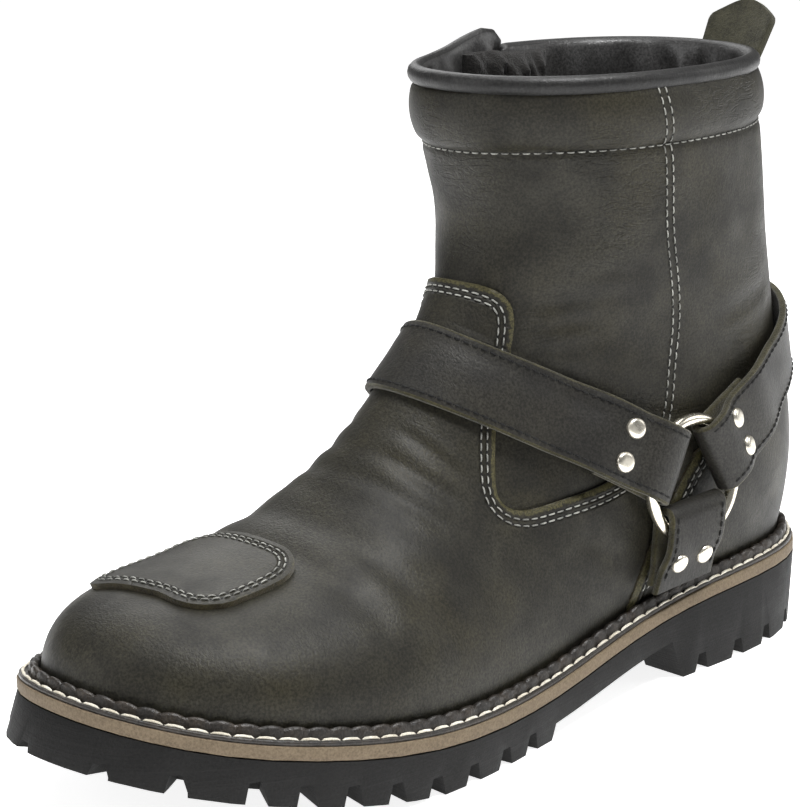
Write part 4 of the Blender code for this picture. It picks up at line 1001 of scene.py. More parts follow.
class Net:
    """A fine net of places on the upper, which panels are cut from and seams follow."""

    SNAP = 0.34

    def __init__(self, last: Last, runs: Array, turns: Array) -> None:
        """Lays the net over the upper's outer face."""
        self.last = last
        self.run, self.turn = np.meshgrid(runs, turns, indexing="ij")
        self.place = last.surface(self.run, self.turn)
        self.spots = np.stack([last.station(self.place), self.place[..., 2]], axis=-1)
        self.x = self.place[..., 0] + last.middle_x

    @staticmethod
    def corners(grid: Array) -> Array:
        """The four corners of each cell of a grid, in order round the cell."""
        return np.stack([grid[:-1, :-1], grid[1:, :-1], grid[1:, 1:], grid[:-1, 1:]], axis=-1)

    def true_distance(self, value: Array) -> Array:
        """Turns a distance seen from one side into a distance along the leather.

        Args:
            value: Distance at each place of the net.

        Returns:
            The distance along the surface.
        """
        down, across = np.gradient(value)
        first = np.gradient(self.place, axis=0)
        second = np.gradient(self.place, axis=1)
        e, f, h = (first * first).sum(-1), (first * second).sum(-1), (second * second).sum(-1)
        area = np.maximum(e * h - f * f, 1e-6)
        square = (h * down ** 2 - 2.0 * f * down * across + e * across ** 2) / area
        return value / np.clip(np.sqrt(np.maximum(square, 0.0)), 0.3, 3.0)

    def outline_distance(self, outline: Array, edge: Array) -> Array:
        """Distance from an edge seen from the side, above 0 within the closed outline it is part of."""
        gap = line_distance(self.spots, edge)[0]
        return np.where(within(self.spots, outline), gap, -gap)

    def cut(self, value: Array, edge: Optional[Array] = None) -> Patch:
        """Keeps the part of the net where a value is above 0.

        Args:
            value: A value at each place of the net.
            edge: Distances from the piece's edge, or the value itself.

        Returns:
            The part, with its edge drawn through the cells of the net.
        """
        rows, columns = value.shape
        number = np.arange(rows * columns).reshape(rows, columns)
        bare = np.stack([self.run, self.turn, value if edge is None else edge], axis=-1).reshape(-1, 3)
        level = value.reshape(-1).copy()
        spots = bare.copy()
        pairs = np.vstack([
            np.stack([number[:-1].ravel(), number[1:].ravel()], axis=1),
            np.stack([number[:, :-1].ravel(), number[:, 1:].ravel()], axis=1),
        ])
        first, second = level[pairs[:, 0]], level[pairs[:, 1]]
        crossed = first * second < 0.0
        nearest: dict[int, float] = {}
        for (a, b), low, high in zip(pairs[crossed], first[crossed], second[crossed]):
            share = low / (low - high)
            near, reach = (a, share) if share < 0.5 else (b, 1.0 - share)
            if reach < nearest.get(near, self.SNAP):
                nearest[near] = reach
                spots[near] = bare[a] + (bare[b] - bare[a]) * share
        for near in nearest:
            level[near] = 0.0
        points = list(spots)
        made: dict[tuple[int, int], int] = {}
        corners = self.corners(number).reshape(-1, 4)
        corners = corners[level[corners].max(axis=1) > 0.0]
        faces: list[tuple[int, ...]] = []
        for quad, heights in zip(corners, level[corners]):
            if heights.min() >= 0.0:
                faces.append(tuple(int(k) for k in quad))
                continue
            face = []
            for k in range(4):
                a, b = int(quad[k]), int(quad[(k + 1) % 4])
                if level[a] >= 0.0:
                    face.append(a)
                if level[a] * level[b] < 0.0:
                    key = (min(a, b), max(a, b))
                    if key not in made:
                        made[key] = len(points)
                        share = level[a] / (level[a] - level[b])
                        points.append(spots[a] + (spots[b] - spots[a]) * share)
                    face.append(made[key])
            if len(face) > 2:
                faces.append(tuple(face))
        return self.welded(np.array(points), faces)

    def welded(self, points: Array, faces: list[tuple[int, ...]]) -> Patch:
        """Joins places that meet at the toe tip and at the back, and drops places without a face.

        Args:
            points: Rows of run, turn and distance from the edge.
            faces: Corner numbers of each face.

        Returns:
            The finished part.
        """
        run, turn = points[:, 0], points[:, 1]
        twin = np.arange(len(points))
        tips = np.nonzero(run <= TINY)[0]
        if len(tips):
            twin[tips] = tips[0]
        known: dict[float, int] = {}
        for k in np.nonzero((run > 1.0 - TINY) & (np.abs(turn) > 1.0 - TINY))[0]:
            twin[k] = known.setdefault(round(float(run[k]), 7), int(k))
        joined = []
        for face in faces:
            loop = [int(twin[k]) for k in face]
            loop = [k for i, k in enumerate(loop) if k != loop[i - 1]]
            if len(set(loop)) == len(loop) and len(loop) > 2:
                joined.append(tuple(loop))
        used = np.unique(np.concatenate([np.array(face) for face in joined]))
        place = np.full(len(points), -1)
        place[used] = np.arange(len(used))
        joined = [tuple(int(place[k]) for k in face) for face in joined]
        return Patch(run[used], turn[used], joined, points[used, 2])

    def lines(self, value: Array, level: float, keep: Array) -> list[Array]:
        """Lines of one level of a value.

        Args:
            value: A value at each place of the net.
            level: The level.
            keep: Places of the net where lines are wanted.

        Returns:
            Lines of (run, turn).
        """
        spots = np.stack([self.run, self.turn], axis=-1)
        high = value - level
        links: dict[tuple, list[tuple]] = {}
        places: dict[tuple, Array] = {}
        cells = self.corners(high)
        mixed = (cells.min(axis=-1) < 0.0) & (cells.max(axis=-1) > 0.0) & self.corners(keep).all(axis=-1)
        for i, j in zip(*np.nonzero(mixed)):
            ring = ((i, j), (i + 1, j), (i + 1, j + 1), (i, j + 1))
            ends = []
            for a, b in zip(ring, ring[1:] + ring[:1]):
                if high[a] * high[b] < 0.0:
                    key = (min(a, b), max(a, b))
                    places[key] = spots[a] + (spots[b] - spots[a]) * (high[a] / (high[a] - high[b]))
                    ends.append(key)
            if len(ends) == 2:
                links.setdefault(ends[0], []).append(ends[1])
                links.setdefault(ends[1], []).append(ends[0])
        chains = []
        left = set(links)
        for start in sorted(links, key=lambda key: len(links[key])):
            if start not in left:
                continue
            chain = [start]
            left.discard(start)
            while True:
                ahead = [key for key in links[chain[-1]] if key in left]
                if not ahead:
                    break
                chain.append(ahead[0])
                left.discard(ahead[0])
            if len(chain) > 3:
                if start in links[chain[-1]] and len(chain) > 8:
                    chain.append(start)
                chains.append(np.array([places[key] for key in chain]))
        return chains


@dataclass
class Shell:
    """Leather over the last: the shared relief, and how closed panels are made."""

    last: Last
    creases: tuple[Crease, ...] = CREASES
    wave: float = 0.35
    dent: tuple[float, float, float] = (17.0, 23.0, 21.0)
    calm: tuple[float, float] = (34.0, 54.0)
    pinch_wide: float = 0.011
    pinch_deep: float = 0.75

    def relief(self, run: Array, turn: Array) -> Array:
        """Height of folds, dents and the cuff's pinch over the smooth form.

        Args:
            run: Runs from the toe to the collar.
            turn: Turns from the outer to the inner edge.

        Returns:
            Heights in millimetres.
        """
        place = self.last.surface(run, turn)
        spots = np.stack([self.last.station(place), place[..., 2]], axis=-1)
        high = np.zeros(spots.shape[:-1])
        for crease in self.creases:
            high += crease.relief(spots)
        u, v, w = np.moveaxis(place / self.dent, -1, 0)
        dents = np.sin(1.3 * u + 0.7 * v + 1.1) * np.sin(0.9 * v - 0.6 * w + 0.4)
        dents = dents + 0.6 * np.sin(1.9 * w + 0.8 * u - 0.7 * v) * np.sin(1.4 * u + 0.5 * w + 2.0)
        high += self.wave * dents * ramp(place[..., 2], *self.calm)
        pinch = np.exp(-(((run - self.last.cuff(turn)) / self.pinch_wide) ** 2))
        return high - self.pinch_deep * pinch

    def solid(
        self,
        name: str,
        patch: Patch,
        outside: float,
        inside: float,
        finishes: Sequence[Material],
        round_off: float,
        lining: Optional[Relief] = None,
    ) -> Piece:
        """A closed panel between two distances from the upper's outer face.

        Args:
            name: Name of the piece.
            patch: Its places and faces.
            outside: Distance of its outer face.
            inside: Distance of its inner face.
            finishes: Materials of the outer face, the back and the raw edge.
            round_off: How far the outer face drops at its edge.
            lining: Relief of the back instead of the outer one.

        Returns:
            The new object.
        """
        relief = self.relief(patch.run, patch.turn)
        rim = patch.rim()
        drop = np.zeros(len(patch.run))
        drop[[a for a, b in rim]] = round_off
        outer = self.last.surface(patch.run, patch.turn, outside + relief - drop)
        back = relief if lining is None else lining(patch.run, patch.turn)
        inner = self.last.surface(patch.run, patch.turn, inside + back)
        count = len(patch.run)
        faces = list(patch.faces)
        kinds = [Face.GRAIN.value] * len(faces)
        faces += [tuple(k + count for k in face[::-1]) for face in patch.faces]
        kinds += [Face.BACK.value] * len(patch.faces)
        for a, b in rim:
            faces.append((b, a, a + count, b + count))
            kinds.append(Face.RAW.value)
        edge = np.tile(patch.edge, 2)
        return add_piece(name, np.vstack([outer, inner]), faces, finishes, kinds, values={"edge": edge})

    def row(self, line: Array, offset: float) -> tuple[Array, Array]:
        """Points and outward directions of a line of (run, turn), at an offset from the outer face."""
        run, turn = line[:, 0], line[:, 1]
        return self.last.surface(run, turn, offset + self.relief(run, turn)), self.last.normal(run, turn)


PANEL_ROWS = (3.0, 5.0)
PATCH_ROWS = (2.4, 4.2)


class Finishes:
    """Every finish of the boot, made once."""

    def __init__(self) -> None:
        """Makes the materials."""
        olive = (0.026, 0.0228, 0.0125)
        deep, pale = (0.0112, 0.0102, 0.0070), (0.0262, 0.0242, 0.0168)
        self.upper = Leather("waxed_leather", deep, pale, olive, wrinkle=0.00014).material()
        self.panel = Leather("panel_leather", deep, pale, olive, rows=PANEL_ROWS).material()
        self.counter = Leather("counter_leather", deep, pale, olive, rows=PANEL_ROWS, band=2.2).material()
        self.patch = Leather("patch_leather", deep, pale, olive, rows=PATCH_ROWS, band=0.3).material()
        self.strap = Leather(
            "strap_leather", (0.0125, 0.0117, 0.010), (0.026, 0.0245, 0.0205), (0.026, 0.0235, 0.017),
            spread=16.0, rough=(0.40, 0.54), shine=0.3,
        ).material()
        # painted light: the black lining gets a tone about three times paler than the binding of the same
        # leather, standing in for light that falls into the shaft
        self.lining = Leather(
            "lining_leather_painted_light", (0.030, 0.0295, 0.029), (0.048, 0.047, 0.0465), (0.045, 0.044, 0.042),
            spread=30.0, depth=0.00008, rough=(0.27, 0.37), shine=0.5,
        ).material()
        self.binding = Leather(
            "binding_leather", (0.010, 0.0098, 0.0096), (0.018, 0.0176, 0.017), (0.016, 0.0156, 0.0148),
            spread=40.0, rough=(0.36, 0.48), shine=0.36,
        ).material()
        self.welt = Leather(
            "welt_leather", (0.010, 0.008, 0.006), (0.032, 0.025, 0.019), (0.030, 0.022, 0.014),
            spread=60.0, depth=0.0002, rough=(0.32, 0.48), shine=0.55,
        ).material()
        self.raw = RawEdge("raw_edge", (0.018, 0.014, 0.006), (0.080, 0.066, 0.031)).material()
        self.strap_edge = RawEdge("strap_edge", (0.016, 0.0145, 0.007), (0.066, 0.059, 0.028)).material()
        self.suede = RawEdge(
            "tab_suede", (0.020, 0.019, 0.011), (0.056, 0.053, 0.033), fibre=1100.0, sheen=0.12
        ).material()
        self.nickel = Metal("nickel", (0.90, 0.85, 0.72), 0.2).material()
        self.rivet = Metal("rivet_nickel", (0.90, 0.85, 0.73), 0.3).material()
        self.zip_metal = Metal("dark_nickel", (0.32, 0.32, 0.31), 0.3).material()
        self.rubber = Rubber("sole_rubber", (0.0054, 0.0053, 0.0052), (0.0158, 0.0155, 0.015)).material()
        self.board = Board("sole_board", (0.116, 0.087, 0.056), (0.208, 0.160, 0.105)).material()
        self.tape = Cloth("zip_tape", (0.006, 0.006, 0.006), (0.022, 0.022, 0.023)).material()
        self.fleece = Cloth("fleece", (0.003, 0.003, 0.003), (0.026, 0.024, 0.022), 1.5, 0.9).material()
        self.bed = Cloth("foot_bed", (0.008, 0.008, 0.008), (0.026, 0.026, 0.026), 0.9, 0.3).material()
        self.pale_thread = Thread(
            "pale_thread", (0.20, 0.20, 0.185), (0.42, 0.42, 0.385), 3.4, 2.7, 0.55, 0.46
        )
        self.dark_thread = Thread(
            "dark_thread", (0.004, 0.004, 0.004), (0.013, 0.013, 0.012), 3.0, 2.5, 0.75, 0.5
        )
        self.welt_thread = Thread(
            "welt_thread", (0.62, 0.57, 0.46), (0.86, 0.82, 0.71), 6.4, 6.7, 1.05, 0.8
        )


@dataclass
class Upper:
    """The leather shell with its panels, binding and pull tab."""

    shell: Shell
    finishes: Finishes
    wall: float = 2.4
    panel: float = 1.8
    patch: float = 1.7
    zip_foot: float = 57.0
    facing: float = 15.0
    patch_middle: tuple[float, float] = (-7.7, 239.0)
    patch_half: tuple[float, float] = (26.3, 21.3)
    patch_corner: float = 13.0
    patch_swing: float = 0.19
    patch_ahead: tuple[float, float] = (230.0, 250.0)
    patch_turn: float = 0.8
    collar_section: tuple = (
        (0.2, -2.2), (1.0, -1.7), (1.7, -1.2), (2.4, 0.0), (2.6, 1.4), (2.2, 2.9), (1.2, 3.9), (0.0, 4.3),
        (-1.2, 4.0), (-2.3, 3.0), (-3.0, 1.0), (-3.5, -3.0), (-3.7, -8.0), (-3.5, -13.0), (-2.6, -16.0),
        (-1.4, -16.5), (-0.6, -14.0), (-0.4, -5.0),
    )
    collar_turn: int = 9
    collar_lean: float = 0.03
    collar_rise: float = 1.3
    collar_step: float = 1.6
    collar_end: float = 2.4
    collar_notch: float = 1.8
    lap: float = 0.35
    under: float = 8.0
    seam_half: float = 1.35
    zip_row: float = 3.4
    cuff_row: float = -0.004
    vamp_edge: tuple = (
        (165.0, 137.3), (144.0, 136.6), (138.8, 135.6), (135.4, 132.7), (133.9, 127.9), (135.2, 120.8),
        (137.5, 113.5), (142.0, 105.5), (147.0, 97.0), (149.8, 88.5), (152.1, 81.1), (153.8, 75.5),
        (153.2, 71.5), (149.5, 69.0), (143.8, 68.1), (131.6, 69.2), (119.8, 70.3), (108.5, 72.3),
        (94.5, 77.0), (76.0, 82.0), (70.0, 75.0), (79.0, 67.5), (86.5, 60.0), (94.5, 50.0), (101.5, 37.5),
        (107.0, 26.0), (110.0, 10.0),
    )
    counter_edge: tuple = (
        (-2.5, 101.0), (38.0, 87.5), (64.0, 79.0), (78.5, 67.0), (86.0, 59.5), (94.0, 49.5),
        (101.0, 37.0), (106.5, 26.0), (109.5, 10.0),
    )
    seam: tuple = (
        (96.5, 204.0), (95.4, 193.4), (92.9, 183.3), (91.0, 175.8), (87.6, 150.1), (83.0, 131.9),
        (79.7, 113.7), (81.5, 101.0), (83.5, 89.4), (85.0, 78.0), (85.0, 60.0),
    )
    tab_rows: tuple = (
        (0.00, 0.74, 0.0), (0.30, 0.82, 2.0), (0.60, 0.94, 8.0), (0.84, 1.00, 13.5),
        (0.88, 0.93, 14.4), (0.97, 0.42, 16.0), (1.00, 0.14, 16.5),
    )
    tab_size: tuple[float, float, float, float] = (27.5, 2.4, 176.0, 215.5)
    tab_gap: float = 0.35
    tab_bow: float = 110.0
    tab_seat: float = 194.0

    def build(self, tree: BVHTree) -> None:
        """Builds every leather piece of the upper and its seams.

        Args:
            tree: The upper's outer face, for rays.
        """
        last = self.shell.last
        foot = (1.0 - np.cos(np.linspace(0.0, math.pi / 2.0, 24))) * 0.2
        runs = np.concatenate([foot, np.linspace(0.2, 0.86, 96)[1:], np.linspace(0.86, 1.0, 14)[1:]])
        shaft = np.concatenate([np.linspace(1.0, 1.84, 66)[1:], np.linspace(1.84, 2.0, 26)[1:]])
        even = np.linspace(-1.0, 1.0, 151)
        turns = np.sin(even * math.pi / 2.0) * 0.35 + even * 0.65
        self.net = Net(last, np.concatenate([runs, shaft]), turns)
        self.main_shell()
        self.counter()
        self.vamp()
        self.toe_patch()
        self.collar()
        self.pull_tab(tree)
        self.seams()

    def zip_distance(self, low: float, high: float) -> Array:
        """Distance from a bay on the inner side.

        Args:
            low: Its first side, from the zip's middle.
            high: Its last side.

        Returns:
            Distance at each place of the net, above 0 outside the bay.
        """
        last = self.shell.last
        aside = self.net.spots[..., 0] - last.zip_station
        gap = np.maximum(low - aside, aside - high)
        return np.where(self.net.turn > 0.0, gap, FAR)

    def lining_folds(self, run: Array, turn: Array) -> Array:
        """Relief of the lining: upright folds that fade down the shaft."""
        near = ramp(run, 1.55, 1.9)
        folds = np.sin(31.0 * turn + 1.5 * np.sin(7.0 * turn)) + 0.5 * np.sin(53.0 * turn + 2.0 * run)
        return 0.3 * near * (folds - 0.6) + self.shell.relief(run, turn) * (1.0 - near)

    def main_shell(self) -> None:
        """The hollow shell, with the slot of the zip."""
        half = self.shell.last.zip_slot / 2.0
        slot = np.maximum(self.zip_distance(-half, half), self.zip_foot - self.net.spots[..., 1])
        self.slot = np.where(self.net.turn > 0.0, slot, FAR)
        piece = self.shell.solid(
            "upper_shell", self.net.cut(self.slot), 0.0, -self.wall,
            # the back face takes the lining's pale tone of painted light
            [self.finishes.upper, self.finishes.lining, self.finishes.raw], 0.2, self.lining_folds,
        )
        settle(piece, ["upper"])

    def panel_distance(
        self, edge: Sequence, close: Sequence, bay: tuple[float, float]
    ) -> tuple[Array, Array]:
        """Distance from a panel's sewn edge.

        Args:
            edge: The edge as (station, height).
            close: Points that close the outline behind the edge.
            bay: The bay of the zip that the panel ends at.

        Returns:
            The value that cuts the panel, and the distance from its edge along the leather.
        """
        line = round_corners(edge)
        value = self.net.outline_distance(np.vstack([line, close]), line)
        distance = self.net.true_distance(value)
        return np.minimum(value, self.zip_distance(*bay)), distance

    def vamp(self) -> None:
        """The panel over the forefoot, with the tongue and the cut-out beside it."""
        ahead = ((330.0, 10.0), (330.0, 143.0))
        value, self.vamp_gap = self.panel_distance(self.vamp_edge, ahead, (-80.0, self.facing))
        patch = self.net.cut(value, np.where(self.counter_gap > -self.under, FAR, np.abs(self.vamp_gap)))
        low = self.shell.last.gap
        piece = self.shell.solid(
            "vamp_panel", patch, low + self.panel, low,
            [self.finishes.panel, self.finishes.raw, self.finishes.raw], 0.8,
        )
        settle(piece, ["vamp"])

    def counter(self) -> None:
        """The panel round the heel, which laps over the vamp's wing."""
        behind = ((-60.0, 10.0), (-60.0, 104.0))
        value, self.counter_gap = self.panel_distance(self.counter_edge, behind, (-self.facing, 80.0))
        patch = self.net.cut(value, np.abs(self.counter_gap))
        low = self.shell.last.gap
        piece = self.shell.solid(
            "heel_counter", patch, low + self.panel + self.lap, low,
            [self.finishes.counter, self.finishes.raw, self.finishes.raw], 0.8,
        )
        settle(piece, ["counter"])

    def toe_patch(self) -> None:
        """The gear-shift patch on the toe."""
        x = np.abs(self.net.x - self.patch_middle[0]) - self.patch_half[0] + self.patch_corner
        station = self.net.spots[..., 0]
        swing = self.patch_swing * np.minimum(self.net.x, 0.0) * ramp(station, *self.patch_ahead)
        ahead = np.abs(station + swing - self.patch_middle[1]) - self.patch_half[1] + self.patch_corner
        out = np.hypot(np.maximum(x, 0.0), np.maximum(ahead, 0.0)) + np.minimum(np.maximum(x, ahead), 0.0)
        value = np.where(np.abs(self.net.turn) < self.patch_turn, self.patch_corner - out, -50.0)
        self.patch_gap = self.net.true_distance(value)
        low = self.panel + 2.0 * self.shell.last.gap
        piece = self.shell.solid(
            "shift_patch", self.net.cut(value, np.abs(self.patch_gap)), low + self.patch, low - 0.4,
            [self.finishes.patch, self.finishes.raw, self.finishes.raw], 0.2,
        )
        settle(piece, ["toe_patch"])

    def collar(self) -> None:
        """The rolled edge of the collar, open at the zip."""
        last = self.shell.last
        turns = np.linspace(-1.0, 1.0, 721)
        rim = last.surface(np.full_like(turns, 2.0), turns, -self.wall / 2.0)
        aside = np.abs(last.station(rim) - last.zip_station)
        notch = np.nonzero((rim[:, 0] < 0.0) & (aside < self.collar_notch))[0]
        route = even_steps(np.vstack([rim[notch[-1] + 1:-1], rim[:notch[0]]]), self.collar_step)
        way = unit(np.gradient(route, axis=0))
        out = unit(np.cross((0.0, 0.0, 1.0), way))
        up = np.cross(way, out)
        far = np.arange(len(route)) * self.collar_step
        ends = ramp(np.minimum(far, far[::-1]), 0.0, self.collar_end)
        size = np.sqrt(1.0 - (1.0 - ends) ** 2 * 0.6)
        folds = np.sin(far / 3.1 + 1.4 * np.sin(far / 11.0))
        folds = folds + 0.6 * np.sin(far / 1.9 + 2.0 * np.sin(far / 17.0))
        lean = self.collar_rise - self.collar_lean * route[:, 0]
        rings = []
        for aside, high in self.collar_section:
            inner = min(max((1.5 - high) / 6.0, 0.0), 1.0) * (aside < -2.0)
            wide = aside * size + 0.9 * inner * folds + 0.06 * np.sin(far / 2.3) * (1.0 - inner)
            tall = np.where(high > 0.0, high * size, high) + lean
            rings.append(route + out * wide[:, None] + up * tall[:, None])
        points = np.stack(rings, axis=1)
        count = len(self.collar_section)
        faces = tube_faces(len(route), count, False)
        kinds = np.tile(np.where(np.arange(count) >= self.collar_turn, 1, 0), len(route) - 1)
        kinds = np.append(kinds, [0] * (len(faces) - len(kinds)))
        # the roll's inner faces take the lining's pale tone of painted light
        finishes = [self.finishes.binding, self.finishes.lining]
        piece = add_piece("collar_roll", points.reshape(-1, 3), faces, finishes, kinds)
        settle(piece, ["collar_binding"])

    def pull_tab(self, tree: BVHTree) -> None:
        """The tab behind the collar: a grid shaped to its rows, then thickened and rounded.

        Args:
            tree: The upper's outer face, for rays.
        """
        last = self.shell.last
        width, thick, low, high = self.tab_size
        bpy.ops.object.select_all(action="DESELECT")
        bpy.ops.mesh.primitive_grid_add(x_subdivisions=16, y_subdivisions=40, size=1.0)
        piece = bpy.context.object
        piece.name = "heel_tab"
        shares, wide, leans = np.transpose(self.tab_rows)
        lean = smooth_curve(shares, leans)
        for vertex in piece.data.vertices:
            share = vertex.co.y + 0.5
            height = low + (high - low) * share
            start = last.scene(0.4, 80.0, min(height, self.tab_seat))
            back = hit(tree, start, (0.0, 1.0, 0.0))
            x = 2.0 * vertex.co.x * float(np.interp(share, shares, wide)) * width / 2.0
            off = self.tab_gap + float(lean(np.array([share]))[0]) - x * x / self.tab_bow
            vertex.co = (back + np.array([x, off, height - back[2]])) * MM
        apply_modifier(piece, "SOLIDIFY", thickness=thick * MM, offset=-1.0)
        apply_modifier(piece, "BEVEL", width=0.5 * MM, segments=2, limit_method="ANGLE", angle_limit=0.9)
        piece.data.materials.append(self.finishes.suede)
        smooth(piece, 60.0)
        settle(piece, ["pull_tab"])

    def seams(self) -> None:
        """Rows of stitches of the panels, the shaft seam, the cuff and the zip."""
        net, last = self.net, self.shell.last
        station, height = net.spots[..., 0], net.spots[..., 1]
        lift = last.gap + self.panel
        off_zip = np.where(net.turn > 0.0, np.abs(station - last.zip_station), FAR)
        clear = off_zip > self.facing + 2.0
        rows = []

        def sew(value: Array, level: float, keep: Array, offset: float) -> None:
            """Adds the rows where a value has one level, in the places that are kept."""
            rows.extend(self.shell.row(line, offset) for line in net.lines(value, level, keep))

        for gap in PANEL_ROWS:
            wing = clear & (station > 74.0) & (height > 30.0) & (self.counter_gap < -self.under)
            sew(self.vamp_gap, gap, wing, lift)
            sew(self.counter_gap, gap, clear & (height > 33.0), lift + self.lap)
        for gap in PATCH_ROWS:
            top = np.abs(net.turn) < self.patch_turn
            sew(self.patch_gap, gap, top, lift + last.gap + self.patch)
        seam = np.array(self.seam[::-1])
        middle = smooth_curve(seam[:, 1], seam[:, 0])
        aside = net.true_distance(station - middle(np.clip(height, seam[0, 1], seam[-1, 1])))
        for shift in (-self.seam_half, self.seam_half):
            sew(aside, shift, (net.x > 10.0) & (net.run > 0.9) & (height > 84.0), 0.0)
        sew(net.run - last.cuff(net.turn), self.cuff_row, off_zip > 6.0, 0.0)
        keep = (net.turn > 0.0) & (height > self.zip_foot) & (net.run < 1.99) & (net.run > 0.9)
        sew(net.true_distance(self.slot), self.zip_row, keep, 0.0)
        self.finishes.pale_thread.sew("upper_stitches", rows, "upper_leather")


def hit(tree: BVHTree, start: Array, way: Array) -> Optional[Array]:
    """Where a ray from inside the boot leaves its outer face, or None."""
    found = tree.ray_cast(Vector(start), Vector(way))
    return None if found[0] is None else np.array(found[0])


def outer_face(last: Last) -> BVHTree:
    """The upper's outer face as a tree for rays."""
    runs = np.unique(np.concatenate([np.linspace(0.0, 1.0, 120), np.linspace(1.0, 2.0, 120)]))
    turns = np.linspace(-1.0, 1.0, 161)
    grid = last.surface(runs[:, None], turns[None, :])
    rows, columns = len(runs), len(turns)
    starts = [i * columns + j for i in range(rows - 1) for j in range(columns - 1)]
    faces = [(a, a + 1, a + columns + 1, a + columns) for a in starts]
    return BVHTree.FromPolygons([Vector(p) for p in grid.reshape(-1, 3)], faces)


class StrapRoute(Enum):
    """The three straps: name, direction from the ring, reach of the rivets, and skew of the fold."""

    FRONT = ("front", (0.0, -math.cos(math.radians(30.0)), math.sin(math.radians(30.0))), 32.0, 0.0)
    HEEL = ("heel", (0.0, math.cos(math.radians(27.0)), math.sin(math.radians(27.0))), 25.6, 0.0)
    SIDE = ("side", (0.0, -math.sin(math.radians(10.0)), -math.cos(math.radians(10.0))), 25.6, 0.24)


@dataclass
class Laid:
    """Rows of places and normals under a strap, by distance from the ring's middle."""

    reach: Array
    places: Array
    normals: Array
    way: Array
    skew: float


@dataclass
class Harness:
    """The ring on the outer ankle, its three straps and their rivets."""

    last: Last
    finishes: Finishes
    tree: BVHTree
    width: float = 25.0
    thick: float = 2.4
    lift: float = 2.7
    fold: float = 38.0
    station: float = 81.5
    height: float = 68.0
    radius: float = 19.5
    wire: float = 2.0
    rivet: float = 3.4
    dome: float = 1.7
    spread: float = 5.7
    front_rivet: float = 32.0
    zip_facing: float = 17.0
    bedding: tuple[float, float] = (26.0, 48.0)
    corner: float = 0.75
    row_inset: float = 2.3
    columns: int = 11
    sewn: list = field(default_factory=list)

    def __post_init__(self) -> None:
        """Finds the plane that the ring lies in."""
        self.core = self.last.scene(0.0, self.station, self.height)
        out = np.array([1.0, 0.0, 0.0])
        spots = []
        for angle in np.linspace(0.0, 2.0 * math.pi, 24, endpoint=False):
            start = self.core + np.array([0.0, math.cos(angle), math.sin(angle)]) * self.radius
            spots.append(hit(self.tree, start, out))
        spots = np.array(spots)
        middle = spots.mean(axis=0)
        normal = np.linalg.svd(spots - middle)[2][2]
        self.normal = normal * np.sign(normal[0])
        rise = ((spots - middle) @ self.normal).max()
        rise = max(rise, (hit(self.tree, self.core, out) - middle) @ self.normal - 3.0)
        self.over = self.lift + self.thick + self.last.gap + self.wire
        self.middle = middle + self.normal * (rise + self.over)
        self.wide = np.linspace(-0.5, 0.5, self.columns) * self.width

    def build(self) -> None:
        """Builds the ring, the straps, their rivets and their stitches."""
        self.ring()
        fore = self.last.heel_seat_y - self.last.zip_station - self.zip_facing
        aft = self.last.heel_seat_y - self.last.zip_station + self.zip_facing
        ends = {
            StrapRoute.FRONT: lambda p: p[0] < -10.0 and p[1] > fore,
            StrapRoute.HEEL: lambda p: p[0] < -10.0 and p[1] < aft,
            StrapRoute.SIDE: lambda p: p[2] < 32.4,
        }
        for route, is_end in ends.items():
            name, way, reach, skew = route.value
            laid = self.lay(np.array(way), is_end, skew)
            self.strap(name, laid)
            self.rivets(name, laid, reach)
        self.finishes.dark_thread.sew("strap_stitches", self.sewn, "strap_leather")

    def ring(self) -> None:
        """The steel ring: a torus, turned into its plane."""
        bpy.ops.object.select_all(action="DESELECT")
        turn = Vector((0.0, 0.0, 1.0)).rotation_difference(Vector(self.normal)).to_euler()
        bpy.ops.mesh.primitive_torus_add(
            major_radius=self.radius * MM, minor_radius=self.wire * MM, major_segments=96,
            minor_segments=20, location=tuple(self.middle * MM), rotation=turn,
        )
        piece = bpy.context.object
        bpy.ops.object.transform_apply(location=True, rotation=True, scale=True)
        piece.name = "ankle_ring"
        piece.data.materials.append(self.finishes.nickel)
        smooth(piece, 60.0)
        settle(piece, ["harness_ring"])

    def lay(self, way: Array, is_end: Callable[[Array], bool], skew: float) -> Laid:
        """Finds where a strap runs over the upper.

        Args:
            way: Direction of the strap at the ring.
            is_end: Tells whether a place lies beyond the strap's end.
            skew: How much shorter the strap gets for each millimetre across it.

        Returns:
            The places and normals under the strap.
        """
        aside = np.cross((1.0, 0.0, 0.0), way)
        reach, places = [0.0], []
        for turn in np.arange(0.0, math.radians(215.0), math.radians(1.0)):
            ray = np.array([math.cos(turn), 0.0, 0.0]) + way * math.sin(turn)
            row = [hit(self.tree, self.core + aside * w, ray) for w in self.wide]
            if any(spot is None for spot in row):
                break
            places.append(row)
            half = self.columns // 2
            if len(places) > 1:
                reach.append(reach[-1] + np.linalg.norm(places[-1][half] - places[-2][half]))
            if is_end(places[-1][half]):
                break
        places = np.array(places)
        soft = places.copy()
        for _ in range(4):
            soft[1:-1] = soft[1:-1] * 0.5 + (soft[2:] + soft[:-2]) * 0.25
        normals = unit(np.cross(np.gradient(soft, axis=0), np.gradient(soft, axis=1)))
        normals *= np.sign(normals[0, self.columns // 2] @ self.normal)
        return Laid(np.array(reach), soft, normals, way, skew)

    def spot(self, laid: Laid, distance: Array, aside: Array, height: Array) -> Array:
        """Places on a strap: flat over the ring, and following the upper further off.

        Args:
            laid: The strap's course.
            distance: Distances from the ring's middle.
            aside: Places across the strap.
            height: Heights over the upper.

        Returns:
            Scene places as (n, 3).
        """
        distance = distance - laid.skew * aside
        row = np.interp(distance, laid.reach, np.arange(len(laid.reach)))
        column = (aside / self.width + 0.5) * (self.columns - 1)
        i = np.clip(np.floor(row).astype(int), 0, len(laid.reach) - 2)
        j = np.clip(np.floor(column).astype(int), 0, self.columns - 2)
        a, b = (row - i)[:, None], (column - j)[:, None]

